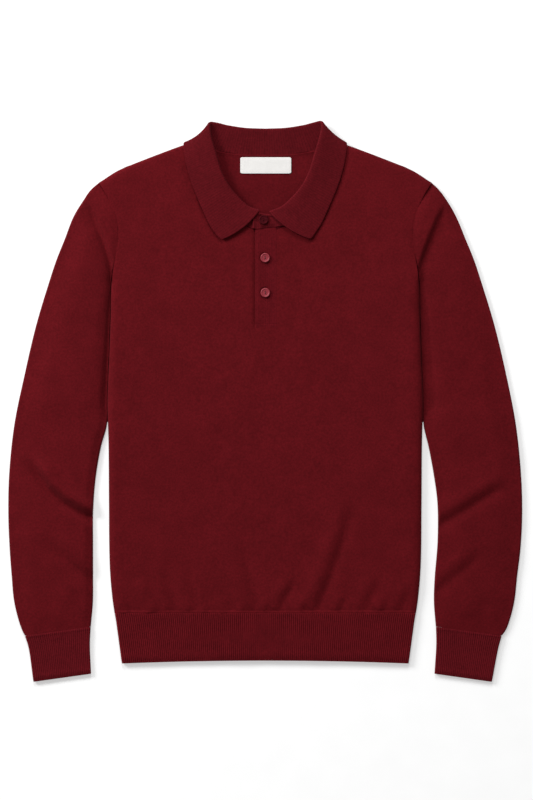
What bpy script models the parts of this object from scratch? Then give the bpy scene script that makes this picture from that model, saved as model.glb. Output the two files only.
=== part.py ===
"""A fine-knit polo sweater laid flat, as separate knitted pieces at real size.

X runs to the viewer's right (the wearer's left), Y from the hem to the collar, Z up from the surface.
The origin is on the surface, under the middle of the garment. Lengths in the tables are millimetres.
Every cloth piece is a wall of even thickness: a grid of points on its middle surface, with the plain
or ribbed faces set out from it on both sides.
"""

import math

import bmesh
import bpy
import numpy as np

# ---- driving dimensions, millimetres ----------------------------------------------------------
MM = 0.001
WALL = 1.5             # knitted body and sleeves
RIB_WALL = 1.7         # rib before its ridges
RIB_RISE = 0.55        # height of a rib ridge over the wall
RIB_PITCH = 2.82       # one rib and its gap
COLLAR_WALL = 1.7
LABEL_WALL = 1.0
SEAM = 0.3             # gap between neighbouring pieces
HALF = WALL / 2

SEAM_Z = 3.25          # height of the side seams
FRONT_Z = 5.75         # middle of the front panel's wall
BACK_Z = HALF          # middle of the back panel's wall
EDGE_ROUND = 2.9       # radius of the soft fold at a side seam
NECK_LIFT = 2.1        # back panel's lift where the collar's fall lies under it
NECK_LIFT_Y = (268.0, 306.0)          # it rises between these
NECK_LIFT_X = (116.0, 150.0)          # and is gone between these, to either side
FRONT_LIFT = 1.0       # front panel's lift beside the neck
FRONT_LIFT_Y = (190.0, 250.0)
FRONT_LIFT_X = (105.0, 165.0)
FRONT_LIFT_ROUND = 14.0               # its soft edge at the shoulder
FOLD_EDGE = (2.0, 14.0)               # folds start and reach their depth this far from a side seam
FOLD_HEM = 9.0                        # and this far from the hem seam

HEM_SEAM_Y = -289.0
HEM_SEAM_HALF = 205.6
SIDE_PULL = 4          # how soon the armhole's hollow dies away across a panel
SIDE_LENGTH = 595.0    # from the hem seam to the shoulder point, along the edge
TOP_LENGTH = 300.0     # from the middle of the neck to the shoulder point, along the edge
NOTCH_SPREAD = 0.2     # share of the top line over which columns are drawn to the placket's edge
UNDERARM_ROOM = 1.8    # the sleeve stands this much further from the body at the underarm
UNDERARM_SHARE = 0.7   # share of the armhole at which that begins

# Side of the body, from the rib's seam to the underarm.
SIDE = np.array([
    # y,     half width
    (-289.0, 205.6), (-272.6, 208.0), (-245.0, 210.8), (-217.8, 212.3), (-135.6, 213.2),
    (-53.4, 213.8), (0.0, 215.2), (56.2, 213.0), (111.0, 211.0), (164.4, 209.6),
])
# Armhole, from the underarm to the shoulder point.
ARMHOLE = np.array([
    # half width, y
    (209.6, 164.4), (207.6, 183.6), (204.6, 200.0), (202.1, 217.8), (202.1, 234.3),
    (204.6, 253.5), (211.0, 269.9), (219.2, 286.3), (227.4, 299.0),
])
# Shoulder, from the shoulder point to the neck point.
SHOULDER = np.array([
    # half width, y
    (227.4, 299.0), (198.0, 317.2), (177.4, 325.6), (156.9, 333.6), (134.0, 342.3), (111.0, 350.7),
    (92.5, 356.9),
])
# Neckline of the front, from the neck point to the placket.
FRONT_NECK = np.array([
    # half width, y
    (92.5, 356.9), (92.3, 353.4), (91.6, 343.9), (88.6, 326.1), (79.7, 302.4), (66.4, 275.4), (50.0, 256.2),
    (32.2, 243.8), (15.4, 235.4), (0.0, 234.3),
])
# Neckline of the back, from the neck point to the middle.
BACK_NECK = np.array([
    # half width, y
    (92.5, 356.9), (89.2, 354.6), (81.5, 349.4), (65.1, 343.2), (33.6, 338.4), (0.0, 337.7),
])

# Placket: a notch in the front panel, and two strips that fill it, one over the other.
NOTCH_LEFT = -11.4
NOTCH_RIGHT = 15.3
NOTCH_FOOT = 101.4
PLACKET_LEFT = -13.4   # free edge of the upper strip
PLACKET_WALL = 1.4
PLACKET_TILT = 2.0     # how far the two strips part at their free edges

# Soft folds of the front panel: a trough from one point to another.
FRONT_FOLDS = np.array([
    # x0,    y0,     x1,     y1,     width, depth
    (117.1, -135.6, 100.0, -198.0, 9.0, 0.9),
    (100.0, -198.0, 78.0, -262.0, 8.5, 1.3),
    (36.3, -249.3, 22.6, -285.0, 7.0, 0.9),
    (152.7, -242.5, 139.0, -271.3, 7.0, 0.7),
    (-34.9, -178.1, -22.0, -262.0, 9.0, 0.6),
    (-139.0, -223.3, -126.7, -265.8, 8.0, 0.6),
    (-166.5, -249.3, -151.4, -274.0, 7.0, 0.6),
])

# Sleeve edges seen from above. The outer edge starts at the shoulder point, the inner at the underarm.
SLEEVE_OUTER = {
    "right": np.array([  # viewer's right, the wearer's left
        # y,      half width
        (299.0, 228.2), (289.0, 238.4), (275.4, 248.4), (254.8, 260.3), (220.6, 274.6), (193.2, 285.6),
        (165.8, 294.6), (104.1, 313.2), (35.6, 329.4), (-32.9, 342.6), (-101.4, 349.6), (-156.2, 351.0),
        (-204.2, 348.4), (-238.4, 344.2), (-272.6, 340.4), (-300.0, 333.6), (-313.0, 328.4), (-320.0, 323.5),
    ]),
    "left": np.array([
        # y,      half width
        (299.0, 228.2), (289.0, 239.4), (275.4, 248.8), (254.8, 261.4), (220.6, 274.8), (193.2, 285.6),
        (165.8, 294.6), (104.1, 313.0), (35.6, 329.0), (-32.9, 343.0), (-101.4, 350.0), (-156.2, 351.0),
        (-204.2, 349.0), (-238.4, 346.4), (-272.6, 343.2), (-300.0, 336.6), (-313.0, 332.0), (-320.0, 328.6),
    ]),
}
SLEEVE_INNER = {
    "right": np.array([
        # y,      half width
        (164.4, 210.6), (111.0, 212.6), (56.2, 214.7), (0.0, 217.0), (-31.5, 217.4), (-60.3, 224.0),
        (-101.4, 231.6), (-137.0, 236.2), (-190.4, 236.6), (-245.0, 232.4), (-272.6, 231.6), (-308.0, 234.2),
    ]),
    "left": np.array([
        # y,      half width
        (164.4, 210.6), (111.0, 212.6), (56.2, 214.7), (0.0, 217.0), (-31.5, 217.4), (-60.3, 225.2),
        (-101.4, 232.4), (-149.3, 236.2), (-190.4, 236.4), (-245.0, 236.4), (-272.6, 236.6), (-308.0, 239.6),
    ]),
}
# Sections across the sleeve, from the armhole seam to the cuff seam.
SLEEVE_ROWS = np.array([
    # outer y, inner y, armhole bend, half height, inner edge's half height
    (299.0, 164.4, 1.00, 2.50, 2.50),
    (286.0, 148.0, 0.86, 2.45, 2.00),
    (268.0, 130.0, 0.66, 2.40, 1.50),
    (238.0, 108.0, 0.42, 2.30, 1.30),
    (202.0, 82.0, 0.22, 2.25, 1.30),
    (160.0, 52.0, 0.08, 2.20, 1.30),
    (112.0, 20.0, 0.00, 2.20, 1.30),
    (62.0, -12.0, 0.00, 2.15, 1.45),
    (14.0, -46.0, 0.00, 2.10, 1.75),
    (-32.0, -86.0, 0.00, 2.10, 2.00),
    (-58.0, -126.0, 0.00, 2.10, 2.00),
    (-84.0, -152.0, 0.00, 2.10, 2.00),
    (-124.0, -174.0, 0.00, 2.10, 2.00),
    (-164.0, -200.0, 0.00, 2.05, 2.00),
    (-206.0, -228.0, 0.00, 2.00, 1.90),
    (-246.0, -256.0, 0.00, 1.90, 1.80),
    (-284.0, -284.0, 0.00, 1.75, 1.70),
    (-300.0, -295.0, 0.00, 1.70, 1.70),
    (-320.0, -308.0, 0.00, 1.65, 1.65),
])
# Folds of a sleeve: troughs and ridges that run across it along a section.
SLEEVE_FOLDS = {
    # section number, spread in sections, depth, where it is deepest from outer 0 to inner 1, its reach
    "right": [(10.35, 0.42, 1.5, 0.75, 0.55), (11.2, 0.4, -0.5, 0.7, 0.5), (13.3, 0.45, 0.6, 0.8, 0.4)],
    "left": [(10.0, 0.42, 1.6, 0.7, 0.6), (10.9, 0.4, -0.5, 0.7, 0.5), (13.0, 0.5, 0.7, 0.75, 0.4)],
}
FOLD_STATIONS = (9.5, 10.5, 13.5)     # sections added where those folds are
SLEEVE_FOLD_EDGE = 10.0               # a fold reaches its depth this far from the sleeve's edge
SLEEVE_ROUND = 2.2                    # place of the mesh's first column, from the sleeve's edge
SLEEVE_WIDTH = 110.0                  # the sleeve's width, for that place
# Cuff edges below the sleeve's seam, from the seam down.
CUFF_EDGES = {
    # outer x,  y,     inner x, y
    "right": np.array([
        (322.8, -320.4, 234.4, -308.4),
        (317.6, -340.0, 234.8, -334.0),
        (309.5, -383.3, 232.4, -372.4),
    ]),
    "left": np.array([
        (328.0, -320.4, 239.8, -308.4),
        (322.4, -340.0, 240.8, -334.0),
        (316.6, -383.3, 239.2, -372.4),
    ]),
}
CUFF_RIBS = 31
CUFF_HALF = 1.65       # half height of the flattened cuff, between the middles of its walls

# Hem rib, below the body's seam.
HEM_ROWS = np.array([
    # y at the sides, y at the middle, half width
    (-289.6, -289.6, 205.2),
    (-358.2, -354.2, 195.4),
])
HEM_TOPS = (FRONT_Z, FRONT_Z - 0.6)   # middle height of the front rib at its seam and at its foot

# Collar: one folded strip from one end of the neck opening round the back to the other end.
# Each row is a station of one half, with x as the distance from the middle. Seam, fold and edge are
# x, y, z. Lean is the direction from the inner layer to the outer one at the fold, in degrees: 90 is up,
# 0 outward over the shoulder, -90 down. Roll is the radius of the fold.
COLLAR_STATIONS = np.array([
    # seam               fold                  edge                  lean,  roll
    (32.2, 243.8, 6.85,  22.7, 264.6, 8.8,     67.8, 229.5, 8.9,     90.0,  1.8),
    (50.0, 256.2, 6.9,   35.1, 274.9, 9.4,     77.4, 244.5, 8.9,     90.0,  1.75),
    (66.4, 275.4, 6.9,   49.5, 291.0, 10.8,    88.4, 268.5, 8.9,     90.0,  1.75),
    (79.7, 302.4, 6.9,   61.4, 312.4, 12.0,    99.3, 294.6, 8.9,     90.0,  1.75),
    (88.6, 326.1, 6.9,   69.2, 337.8, 12.4,    106.9, 319.2, 8.9,    90.0,  1.75),
    (91.6, 343.9, 6.85,  74.8, 358.6, 12.0,    110.6, 338.6, 8.8,    80.0,  1.7),
    (91.6, 354.0, 6.3,   77.0, 375.6, 11.0,    111.8, 352.0, 7.4,    45.0,  1.65),
    (90.4, 358.2, 4.9,   75.0, 380.0, 8.6,     109.2, 354.5, 4.8,    0.0,   1.65),
    (86.6, 353.2, 3.6,   69.6, 379.9, 6.6,     105.8, 354.6, 1.5,    -45.0, 1.65),
    (81.5, 349.4, 3.0,   62.6, 378.6, 5.2,     96.0, 345.0, 0.85,    -88.0, 1.65),
    (65.1, 343.2, 2.85,  51.4, 375.8, 4.7,     76.0, 330.0, 0.85,    -90.0, 1.65),
    (33.6, 338.4, 2.85,  27.4, 372.2, 4.6,     40.0, 319.0, 0.85,    -90.0, 1.65),
    (0.0, 337.7, 2.85,   0.0, 371.1, 4.6,      0.0, 315.0, 0.85,     -90.0, 1.65),
])
COLLAR_ENDS = {
    # the station at each front end, in the same columns
    "left": (16.0, 235.6, 6.8, 8.9, 259.6, 9.0, 58.9, 220.6, 8.9, 90.0, 2.0),
    "right": (17.0, 235.9, 6.8, 6.4, 257.8, 9.0, 62.0, 221.3, 8.9, 90.0, 2.0),
}
COLLAR_BULGE = 4.2     # how far each front edge bows out between the fold and the point
COLLAR_SAG = {"left": 3.6, "right": 2.4}              # how far the fall sags where it crosses the shoulder
COLLAR_PEAK = {"left": (0.0, 0.0), "right": (1.4, 1.2)}  # how far the fold's highest place is moved, x and y
COLLAR_GAP = 0.6       # from the neckline's cut edge
COLLAR_OUTWARD = (0.603, 0.798)
COLLAR_SPLITS = 2      # mesh stations in each interval of the table

# Neck band: the collar stand's overlapping end, which carries the top button.
BAND_FOOT = 236.0
BAND_HEAD = 258.2       # at the free end; BAND_FALL lower to the right
BAND_FALL = 2.0
BAND_LEFT = -17.2
BAND_RIGHT = 25.5
BAND_Z = 8.65
BAND_WALL = 1.4
BAND_ROUND = 8.0

# Label at the back of the neck, bare.
LABEL_SIZE = (69.6, 22.2)
LABEL_CENTRE = (0.7, 323.2)

# Buttons: radius, thickness and the two holes.
BUTTON_RADIUS = 6.4
BUTTON_HEIGHT = 2.4
BUTTON_RIM = 1.5
BUTTON_DISH = 0.55
HOLE_RADIUS = 0.75
HOLE_REACH = 1.65
BUTTONS = {
    # name: x, y
    "button_top": (-2.2, 248.6),
    "button_middle": (-0.2, 196.6),
    "button_bottom": (0.0, 148.9),
}

MAROON = (0.105, 0.008, 0.014, 1.0)
MAROON_RIB = (0.088, 0.007, 0.012, 1.0)
BUTTON_RED = (0.21, 0.03, 0.04, 1.0)
LABEL_WHITE = (0.8, 0.79, 0.77, 1.0)


# ---- helpers ------------------------------------------------------------------------------------
def material(name, colour, roughness):
    """A plain Principled material."""
    made = bpy.data.materials.new(name)
    made.use_nodes = True
    shader = made.node_tree.nodes["Principled BSDF"]
    shader.inputs["Base Color"].default_value = colour
    shader.inputs["Roughness"].default_value = roughness
    return made


def flow(stations, values, at):
    """Smooth curve through rows of values at rising stations (cubic, with averaged slopes)."""
    stations = np.asarray(stations, float)
    values = np.asarray(values, float).reshape(len(stations), -1)
    steps = np.diff(stations)[:, None]
    slopes = np.diff(values, axis=0) / steps
    tangents = np.vstack([slopes[:1], 0.5 * (slopes[1:] + slopes[:-1]), slopes[-1:]])
    at = np.asarray(at, float)
    k = np.clip(np.searchsorted(stations, at.ravel(), side="right") - 1, 0, len(steps) - 1)
    width = steps[k]
    t = (at.ravel()[:, None] - stations[k][:, None]) / width
    t = np.clip(t, 0.0, 1.0)
    a, b, ta, tb = values[k], values[k + 1], tangents[k] * width, tangents[k + 1] * width
    out = ((2 * t**3 - 3 * t**2 + 1) * a + (t**3 - 2 * t**2 + t) * ta
           + (3 * t**2 - 2 * t**3) * b + (t**3 - t**2) * tb)
    return out.reshape(at.shape + (values.shape[1],))


def arc_stations(points):
    """Share of the length along a run of points, from 0 to 1."""
    steps = np.linalg.norm(np.diff(points, axis=0), axis=1)
    run = np.concatenate([[0.0], np.cumsum(steps)])
    return run / run[-1]


def straight(line, at):
    """Points on a run of straight pieces at shares of its length."""
    shares = arc_stations(line)
    return np.column_stack([np.interp(at, shares, line[:, k]) for k in range(line.shape[1])])


def quarter(s):
    """Quarter circle: 0 at 0 with an upright start, 1 from 1 on."""
    return np.sqrt(np.clip(1.0 - (1.0 - np.clip(s, 0.0, 1.0)) ** 2, 0.0, 1.0))


def ease(s):
    """Soft step from 0 to 1."""
    s = np.clip(s, 0.0, 1.0)
    return s * s * (3.0 - 2.0 * s)


def rise_between(s, span):
    """Soft step from 0 at the span's start to 1 at its end."""
    return ease((s - span[0]) / (span[1] - span[0]))


def fall_between(s, span):
    """Soft step from 1 at the span's start to 0 at its end."""
    return 1.0 - rise_between(s, span)


def run_distance(x, y, line):
    """Distance of every point to a run of points."""
    best = np.full(x.shape, 1e9)
    for (x0, y0), (x1, y1) in zip(line[:-1], line[1:]):
        dx, dy = x1 - x0, y1 - y0
        t = np.clip(((x - x0) * dx + (y - y0) * dy) / (dx * dx + dy * dy), 0.0, 1.0)
        best = np.minimum(best, np.hypot(x - x0 - t * dx, y - y0 - t * dy))
    return best


def seam_distance(x, y):
    """Distance to the side seam or the shoulder, the two lines where front and back meet."""
    x = np.abs(x)
    side_y = np.linspace(SIDE[0, 0], SIDE[-1, 0], 40)
    side = np.column_stack([flow(SIDE[:, 0], SIDE[:, 1], side_y)[:, 0], side_y])
    return np.minimum(run_distance(x, y, side), run_distance(x, y, SHOULDER))


def front_height(x, y):
    """Middle height of the front panel: flat, rounded down to the seams, with its soft folds."""
    z = SEAM_Z + SEAM / 2 + (FRONT_Z - SEAM_Z - SEAM / 2) * quarter(seam_distance(x, y) / EDGE_ROUND)
    away = seam_distance(x, y)
    z = z + FRONT_LIFT * rise_between(y, FRONT_LIFT_Y) * fall_between(np.abs(x), FRONT_LIFT_X) * \
        quarter(away / FRONT_LIFT_ROUND)
    inside = rise_between(away, FOLD_EDGE) * ease((y - HEM_SEAM_Y) / FOLD_HEM)
    for x0, y0, x1, y1, width, depth in FRONT_FOLDS:
        away = run_distance(x, y, np.array([(x0, y0), (x1, y1)]))
        z = z - inside * depth * np.exp(-((away / width) ** 2))
    return z


def back_height(x, y):
    """Middle height of the back panel: flat on the surface, lifted over the collar's fall."""
    lift = NECK_LIFT * rise_between(y, NECK_LIFT_Y) * fall_between(np.abs(x), NECK_LIFT_X)
    low = BACK_Z + lift
    top = SEAM_Z - SEAM / 2
    return top + (low - top) * quarter(seam_distance(x, y) / EDGE_ROUND)


def set_out(middle, thickness, closed_u=False, rise=None, level=None):
    """Both faces of a wall, set out from a grid of middle points along the grid's normals.

    rise, where given, is added to the outer face only. level marks points whose normal is made level, on
    a seam. closed_u joins the last column to the first.
    """
    if closed_u:
        du = np.roll(middle, -1, axis=1) - np.roll(middle, 1, axis=1)
    else:
        du = np.gradient(middle, axis=1)
    dv = np.gradient(middle, axis=0)
    normal = np.cross(du, dv)
    if level is not None:
        normal[level, 2] = 0.0
    normal /= np.linalg.norm(normal, axis=2, keepdims=True)
    lift = np.zeros(middle.shape[:2]) if rise is None else rise
    outer = middle + normal * (thickness / 2 + lift)[..., None]
    inner = middle - normal * (thickness / 2)
    return outer, inner


def wall(name, faces, look, closed_u=False, skip=None):
    """A closed wall from the grids of its outer and inner faces. skip marks quads that are left out."""
    rows, cols = faces[0].shape[:2]
    if skip is None:
        skip = np.zeros((rows - 1, cols - 1 + closed_u), bool)

    mesh = bmesh.new()
    faces_of = []
    for points in faces:
        faces_of.append([[mesh.verts.new(p * MM) for p in row] for row in points])
    edge_use = {}
    for r in range(rows - 1):
        for c in range(skip.shape[1]):
            if skip[r, c]:
                continue
            d = (c + 1) % cols
            corners = [(r, c), (r, d), (r + 1, d), (r + 1, c)]
            mesh.faces.new([faces_of[0][i][j] for i, j in corners])
            mesh.faces.new([faces_of[1][i][j] for i, j in reversed(corners)])
            for a, b in zip(corners, corners[1:] + corners[:1]):
                if (b, a) in edge_use:
                    del edge_use[(b, a)]
                else:
                    edge_use[(a, b)] = True
    for (ai, aj), (bi, bj) in edge_use:
        mesh.faces.new([faces_of[0][ai][aj], faces_of[1][ai][aj], faces_of[1][bi][bj], faces_of[0][bi][bj]])
    loose = [v for v in mesh.verts if not v.link_faces]
    for v in loose:
        mesh.verts.remove(v)
    data = bpy.data.meshes.new(name)
    mesh.to_mesh(data)
    mesh.free()
    data.materials.append(look)
    data.shade_smooth()
    data.set_sharp_from_angle(angle=math.radians(40))
    garment.objects.link(bpy.data.objects.new(name, data))


# ---- panels -------------------------------------------------------------------------------------
def half_outline(neck):
    """Top boundary of half a panel, from the armhole's head along the shoulder and neckline."""
    return np.vstack([SHOULDER, neck[1:]])


def body_side(v):
    """Side and armhole boundary of the right half for v from 0 at the hem seam to 1."""
    line = np.vstack([SIDE[:, ::-1], ARMHOLE[1:]])
    return flow(arc_stations(line), line, v)


def side_rows(even_count, every):
    """Rows of a panel: even up to the underarm, then one at each point of the armhole's table."""
    line = np.vstack([SIDE[:, ::-1], ARMHOLE[1:]])
    shares = arc_stations(line)
    underarm = shares[len(SIDE) - 1]
    head = shares[len(SIDE) - 1::every]
    return np.concatenate([np.linspace(0.0, underarm, even_count + 1)[:-1], head[:-1], near_end(SIDE_LENGTH)])


def near_end(length):
    """Shares of the last steps of a line, where the wall rounds over at its end."""
    return 1.0 - np.array([EDGE_ROUND, 0.9, 0.0]) / length


def body_half(neck, columns, rows, notch=None):
    """Points of a panel's right half, as a patch between the hem, the side, the top and the middle.

    columns are shares of the top line, from the middle to the shoulder point; rows are shares of the side
    line, from the hem to the shoulder point. notch is the x that one column keeps all the way down.
    """
    top_line = half_outline(neck)[::-1]
    top = straight(top_line, columns)
    foot_x = HEM_SEAM_HALF * columns
    if notch is not None:
        kept = int(np.argmin(np.abs(top[:, 0] - notch)))
        foot_x = foot_x + (notch - foot_x[kept]) * ease(1.0 - np.abs(columns - columns[kept]) / NOTCH_SPREAD)
        foot_x[0] = 0.0
    foot = np.column_stack([foot_x, np.full(len(columns), HEM_SEAM_Y)])
    u, v = (a[..., None] for a in np.meshgrid(columns, rows))
    bow = body_side(rows)[:, None] - (1 - v) * foot[-1] - v * top[-1]
    return (1 - v) * foot[None] + v * top[None] + u**SIDE_PULL * bow


def top_share(neck, x):
    """Share of a panel's top line at which it passes a distance from the middle."""
    top_line = half_outline(neck)[::-1]
    fine = np.linspace(0.0, 1.0, 2001)
    return float(fine[np.argmin(np.abs(straight(top_line, fine)[:, 0] - x))])


def top_columns(neck, first=None):
    """Columns of a panel: one at each point of its neckline and shoulder.

    first, where given, is the distance from the middle at which the first column stands.
    """
    top_line = half_outline(neck)[::-1]
    shares = arc_stations(top_line)[:len(neck)]
    if first is not None:
        start = top_share(neck, first)
        shares = np.concatenate([[0.0, start], shares[shares > start + 0.01]])
    shoulder = arc_stations(top_line)[len(neck):-1]
    return np.concatenate([shares, shoulder, near_end(TOP_LENGTH)])


def on_seam(grid):
    """Marks the points of a panel that lie on a side seam or shoulder, where its wall turns level."""
    return seam_distance(grid[..., 0], grid[..., 1]) < 0.25


def front_panel():
    """Front, from the rib to the shoulders, with the placket's notch cut from its neckline."""
    rows = side_rows(13, 1)
    notch_row = (NOTCH_FOOT - HEM_SEAM_Y) / (FRONT_NECK[-1, 1] - HEM_SEAM_Y)
    first = int(np.argmin(np.abs(rows - notch_row)))
    rows[first] = notch_row
    halves = []
    for notch in (-NOTCH_LEFT, NOTCH_RIGHT):
        half = body_half(FRONT_NECK, top_columns(FRONT_NECK, notch), rows, notch)
        half[:, 1, 0] = notch
        half[first, :2, 1] = NOTCH_FOOT
        halves.append(half)
    halves[0][..., 0] *= -1
    flat = np.concatenate([halves[0][:, ::-1], halves[1][:, 1:]], axis=1)
    x, y = flat[..., 0], flat[..., 1]
    grid = np.dstack([x, y, front_height(x, y)])
    middle = halves[0].shape[1] - 1
    skip = np.zeros((grid.shape[0] - 1, grid.shape[1] - 1), bool)
    skip[first:, middle - 1:middle + 1] = True
    wall("front_panel", set_out(grid, WALL, level=on_seam(grid)), knit, skip=skip)


def back_panel():
    """Back, from the rib to the shoulders, flat on the surface and lifted over the collar's fall."""
    half = body_half(BACK_NECK, top_columns(BACK_NECK), side_rows(7, 2))
    left = half * np.array([-1.0, 1.0])
    flat = np.concatenate([left[:, ::-1], half[:, 1:]], axis=1)
    x, y = flat[..., 0], flat[..., 1]
    grid = np.dstack([x, y, back_height(x, y)])
    wall("back_panel", set_out(grid, WALL, level=on_seam(grid)), knit)


# ---- sleeves and cuffs --------------------------------------------------------------------------
def tube_shares(width, round_over):
    """Places round a sleeve: shares from its outer edge to the inner one, and 1 above, -1 below.

    The inner ones stand at the points of the armhole's table, as the panels' rows do.
    """
    near = np.array([0.6, round_over]) / width
    head = 1.0 - arc_stations(ARMHOLE)[::-1]
    top = np.concatenate([[0.0], near, head[1:-1], 1 - near[::-1], [1.0]])
    foot = np.concatenate([1 - near, head[2:-2:2][::-1], near[::-1]])
    return np.concatenate([top, foot]), np.concatenate([np.ones(len(top)), -np.ones(len(foot))])


def sleeve_face(side, stations, shares, sides, out):
    """One face of a sleeve's wall, from the armhole, where its sections follow the seam, to the cuff.

    stations are row numbers of the section table; shares run from the outer edge to the inner one. Each
    section is a flat loop with round ends. out is how far the face lies outside the wall's middle: it
    widens the loop at both ends and raises its half height, so the faces of a wall never cross.
    """
    numbers = np.arange(len(SLEEVE_ROWS))
    outer_y, inner_y, bend, half, inner_half = flow(numbers, SLEEVE_ROWS, stations).T
    edge = SLEEVE_OUTER[side][::-1]
    outer = np.column_stack([flow(edge[:, 0], edge[:, 1], outer_y)[:, 0], outer_y])
    edge = SLEEVE_INNER[side][::-1]
    inner = np.column_stack([flow(edge[:, 0], edge[:, 1], inner_y)[:, 0], inner_y])
    width = np.linalg.norm(outer - inner, axis=1)[:, None]
    s = shares[None, :]
    t = s + (2 * s - 1) * out / width
    flat = outer[:, None] * (1 - t[..., None]) + inner[:, None] * t[..., None]
    head = ARMHOLE[::-1]
    seam = flow(arc_stations(head), head, shares)
    fine = np.linspace(0.0, 1.0, 400)
    slopes = np.gradient(flow(arc_stations(head), head, fine), fine, axis=0)
    tangent = np.column_stack([np.interp(shares, fine, slopes[:, k]) for k in (0, 1)])
    tangent /= np.linalg.norm(tangent, axis=1, keepdims=True)
    outward = np.column_stack([-tangent[:, 1], tangent[:, 0]])
    inward = ease((shares - UNDERARM_SHARE) / (1 - UNDERARM_SHARE))
    seam = seam + outward * (SEAM + UNDERARM_ROOM * inward)[:, None]
    bow = seam - (outer[0] * (1 - shares[:, None]) + inner[0] * shares[:, None])
    flat = flat + bend[:, None, None] * bow[None]
    height = half[:, None] + (inner_half - half)[:, None] * inward
    edge_near = np.minimum(s, 1 - s) * (width + 2 * out)
    bulge = quarter(edge_near / (height + out))
    z = HALF + height + sides[None, :] * (height + out) * bulge
    for row, spread, depth, place_across, reach in SLEEVE_FOLDS[side]:
        strength = np.exp(-(((stations - row) / spread) ** 2))[:, None] * \
            np.exp(-(((s - place_across) / reach) ** 2)) * ease(edge_near / SLEEVE_FOLD_EDGE)
        z = z - np.where(sides[None, :] > 0, strength * depth, 0.0)
    return np.dstack([flat, z])


def sleeve(side, name):
    """One sleeve, a flattened tube from the armhole to the cuff."""
    stations = np.unique(np.concatenate([np.arange(len(SLEEVE_ROWS)), FOLD_STATIONS]))
    shares, sides = tube_shares(SLEEVE_WIDTH, SLEEVE_ROUND)
    faces = [sleeve_face(side, stations, shares, sides, out) for out in (HALF, -HALF)]
    mirrored(name, faces, side, knit)


def mirrored(name, faces, side, look):
    """A closed tube wall, turned over to the viewer's left where that is its side."""
    if side == "left":
        faces = [(face * np.array([-1.0, 1.0, 1.0]))[::-1] for face in faces]
    wall(name, faces, look, closed_u=True)


def cuff(side, name):
    """Ribbed cuff: a flattened tube whose upper side has raised ribs, plain where it rests."""
    edges = CUFF_EDGES[side]
    top = np.linspace(0.0, 1.0, 2 * CUFF_RIBS + 1)
    foot = np.linspace(1.0, 0.0, 12)[1:-1]
    foot[0], foot[-1] = 0.985, 0.015
    shares = np.concatenate([top, foot])
    sides = np.concatenate([np.ones(len(top)), -np.ones(len(foot))])
    outer, inner = edges[:, None, :2], edges[:, None, 2:]
    s = shares[None, :]
    flat = outer * (1 - s[..., None]) + inner * s[..., None]
    width = np.linalg.norm(edges[:, :2] - edges[:, 2:], axis=1)[:, None]
    bulge = quarter(np.minimum(s, 1 - s) * width / CUFF_HALF)
    z = RIB_WALL / 2 + CUFF_HALF + sides[None, :] * CUFF_HALF * bulge
    rise = np.zeros(z.shape)
    rise[:, 1:2 * CUFF_RIBS:2] = RIB_RISE
    mirrored(name, set_out(np.dstack([flat, z]), RIB_WALL, closed_u=True, rise=rise), side, rib)


# ---- hem ribs -----------------------------------------------------------------------------------
def hem_grid(shares):
    """Places of the hem rib seen from above, for shares across it from -1 to 1."""
    side_y, middle_y, half = HEM_ROWS.T[:, :, None]
    s = shares[None, :]
    return half * s, middle_y + (side_y - middle_y) * s**2


def hem_front():
    """Front of the hem rib, with every rib raised on the side that shows."""
    ribs = round(2 * HEM_ROWS[0, 2] / RIB_PITCH)
    shares = np.linspace(-1.0, 1.0, 2 * ribs + 1)
    x, y = hem_grid(shares)
    near = (1 - np.abs(shares))[None, :] * HEM_ROWS[:, 2:3]
    foot = SEAM_Z + SEAM / 2
    top = np.array(HEM_TOPS)[:, None]
    z = foot + (top - foot) * quarter(near / EDGE_ROUND)
    rise = np.zeros(x.shape)
    rise[:, 1::2] = RIB_RISE
    grid = np.dstack([x, y, z])[::-1]
    level = np.zeros(x.shape, bool)
    level[:, [0, -1]] = True
    wall("hem_rib_front", set_out(grid, RIB_WALL, rise=rise, level=level), rib)


def hem_back():
    """Back of the hem rib, plain and flat on the surface."""
    shares = 1.0 - np.array([0.0, 0.9, EDGE_ROUND]) / 200.0
    shares = np.concatenate([-shares, np.linspace(-0.9, 0.9, 13), shares[::-1]])
    x, y = hem_grid(shares)
    near = (1 - np.abs(shares))[None, :] * HEM_ROWS[:, 2:3]
    top, low = SEAM_Z - SEAM / 2, RIB_WALL / 2
    z = top + (low - top) * quarter(near / EDGE_ROUND)
    level = np.zeros(x.shape, bool)
    level[:, [0, -1]] = True
    wall("hem_rib_back", set_out(np.dstack([x, y, z])[::-1], RIB_WALL, level=level), rib)


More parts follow.
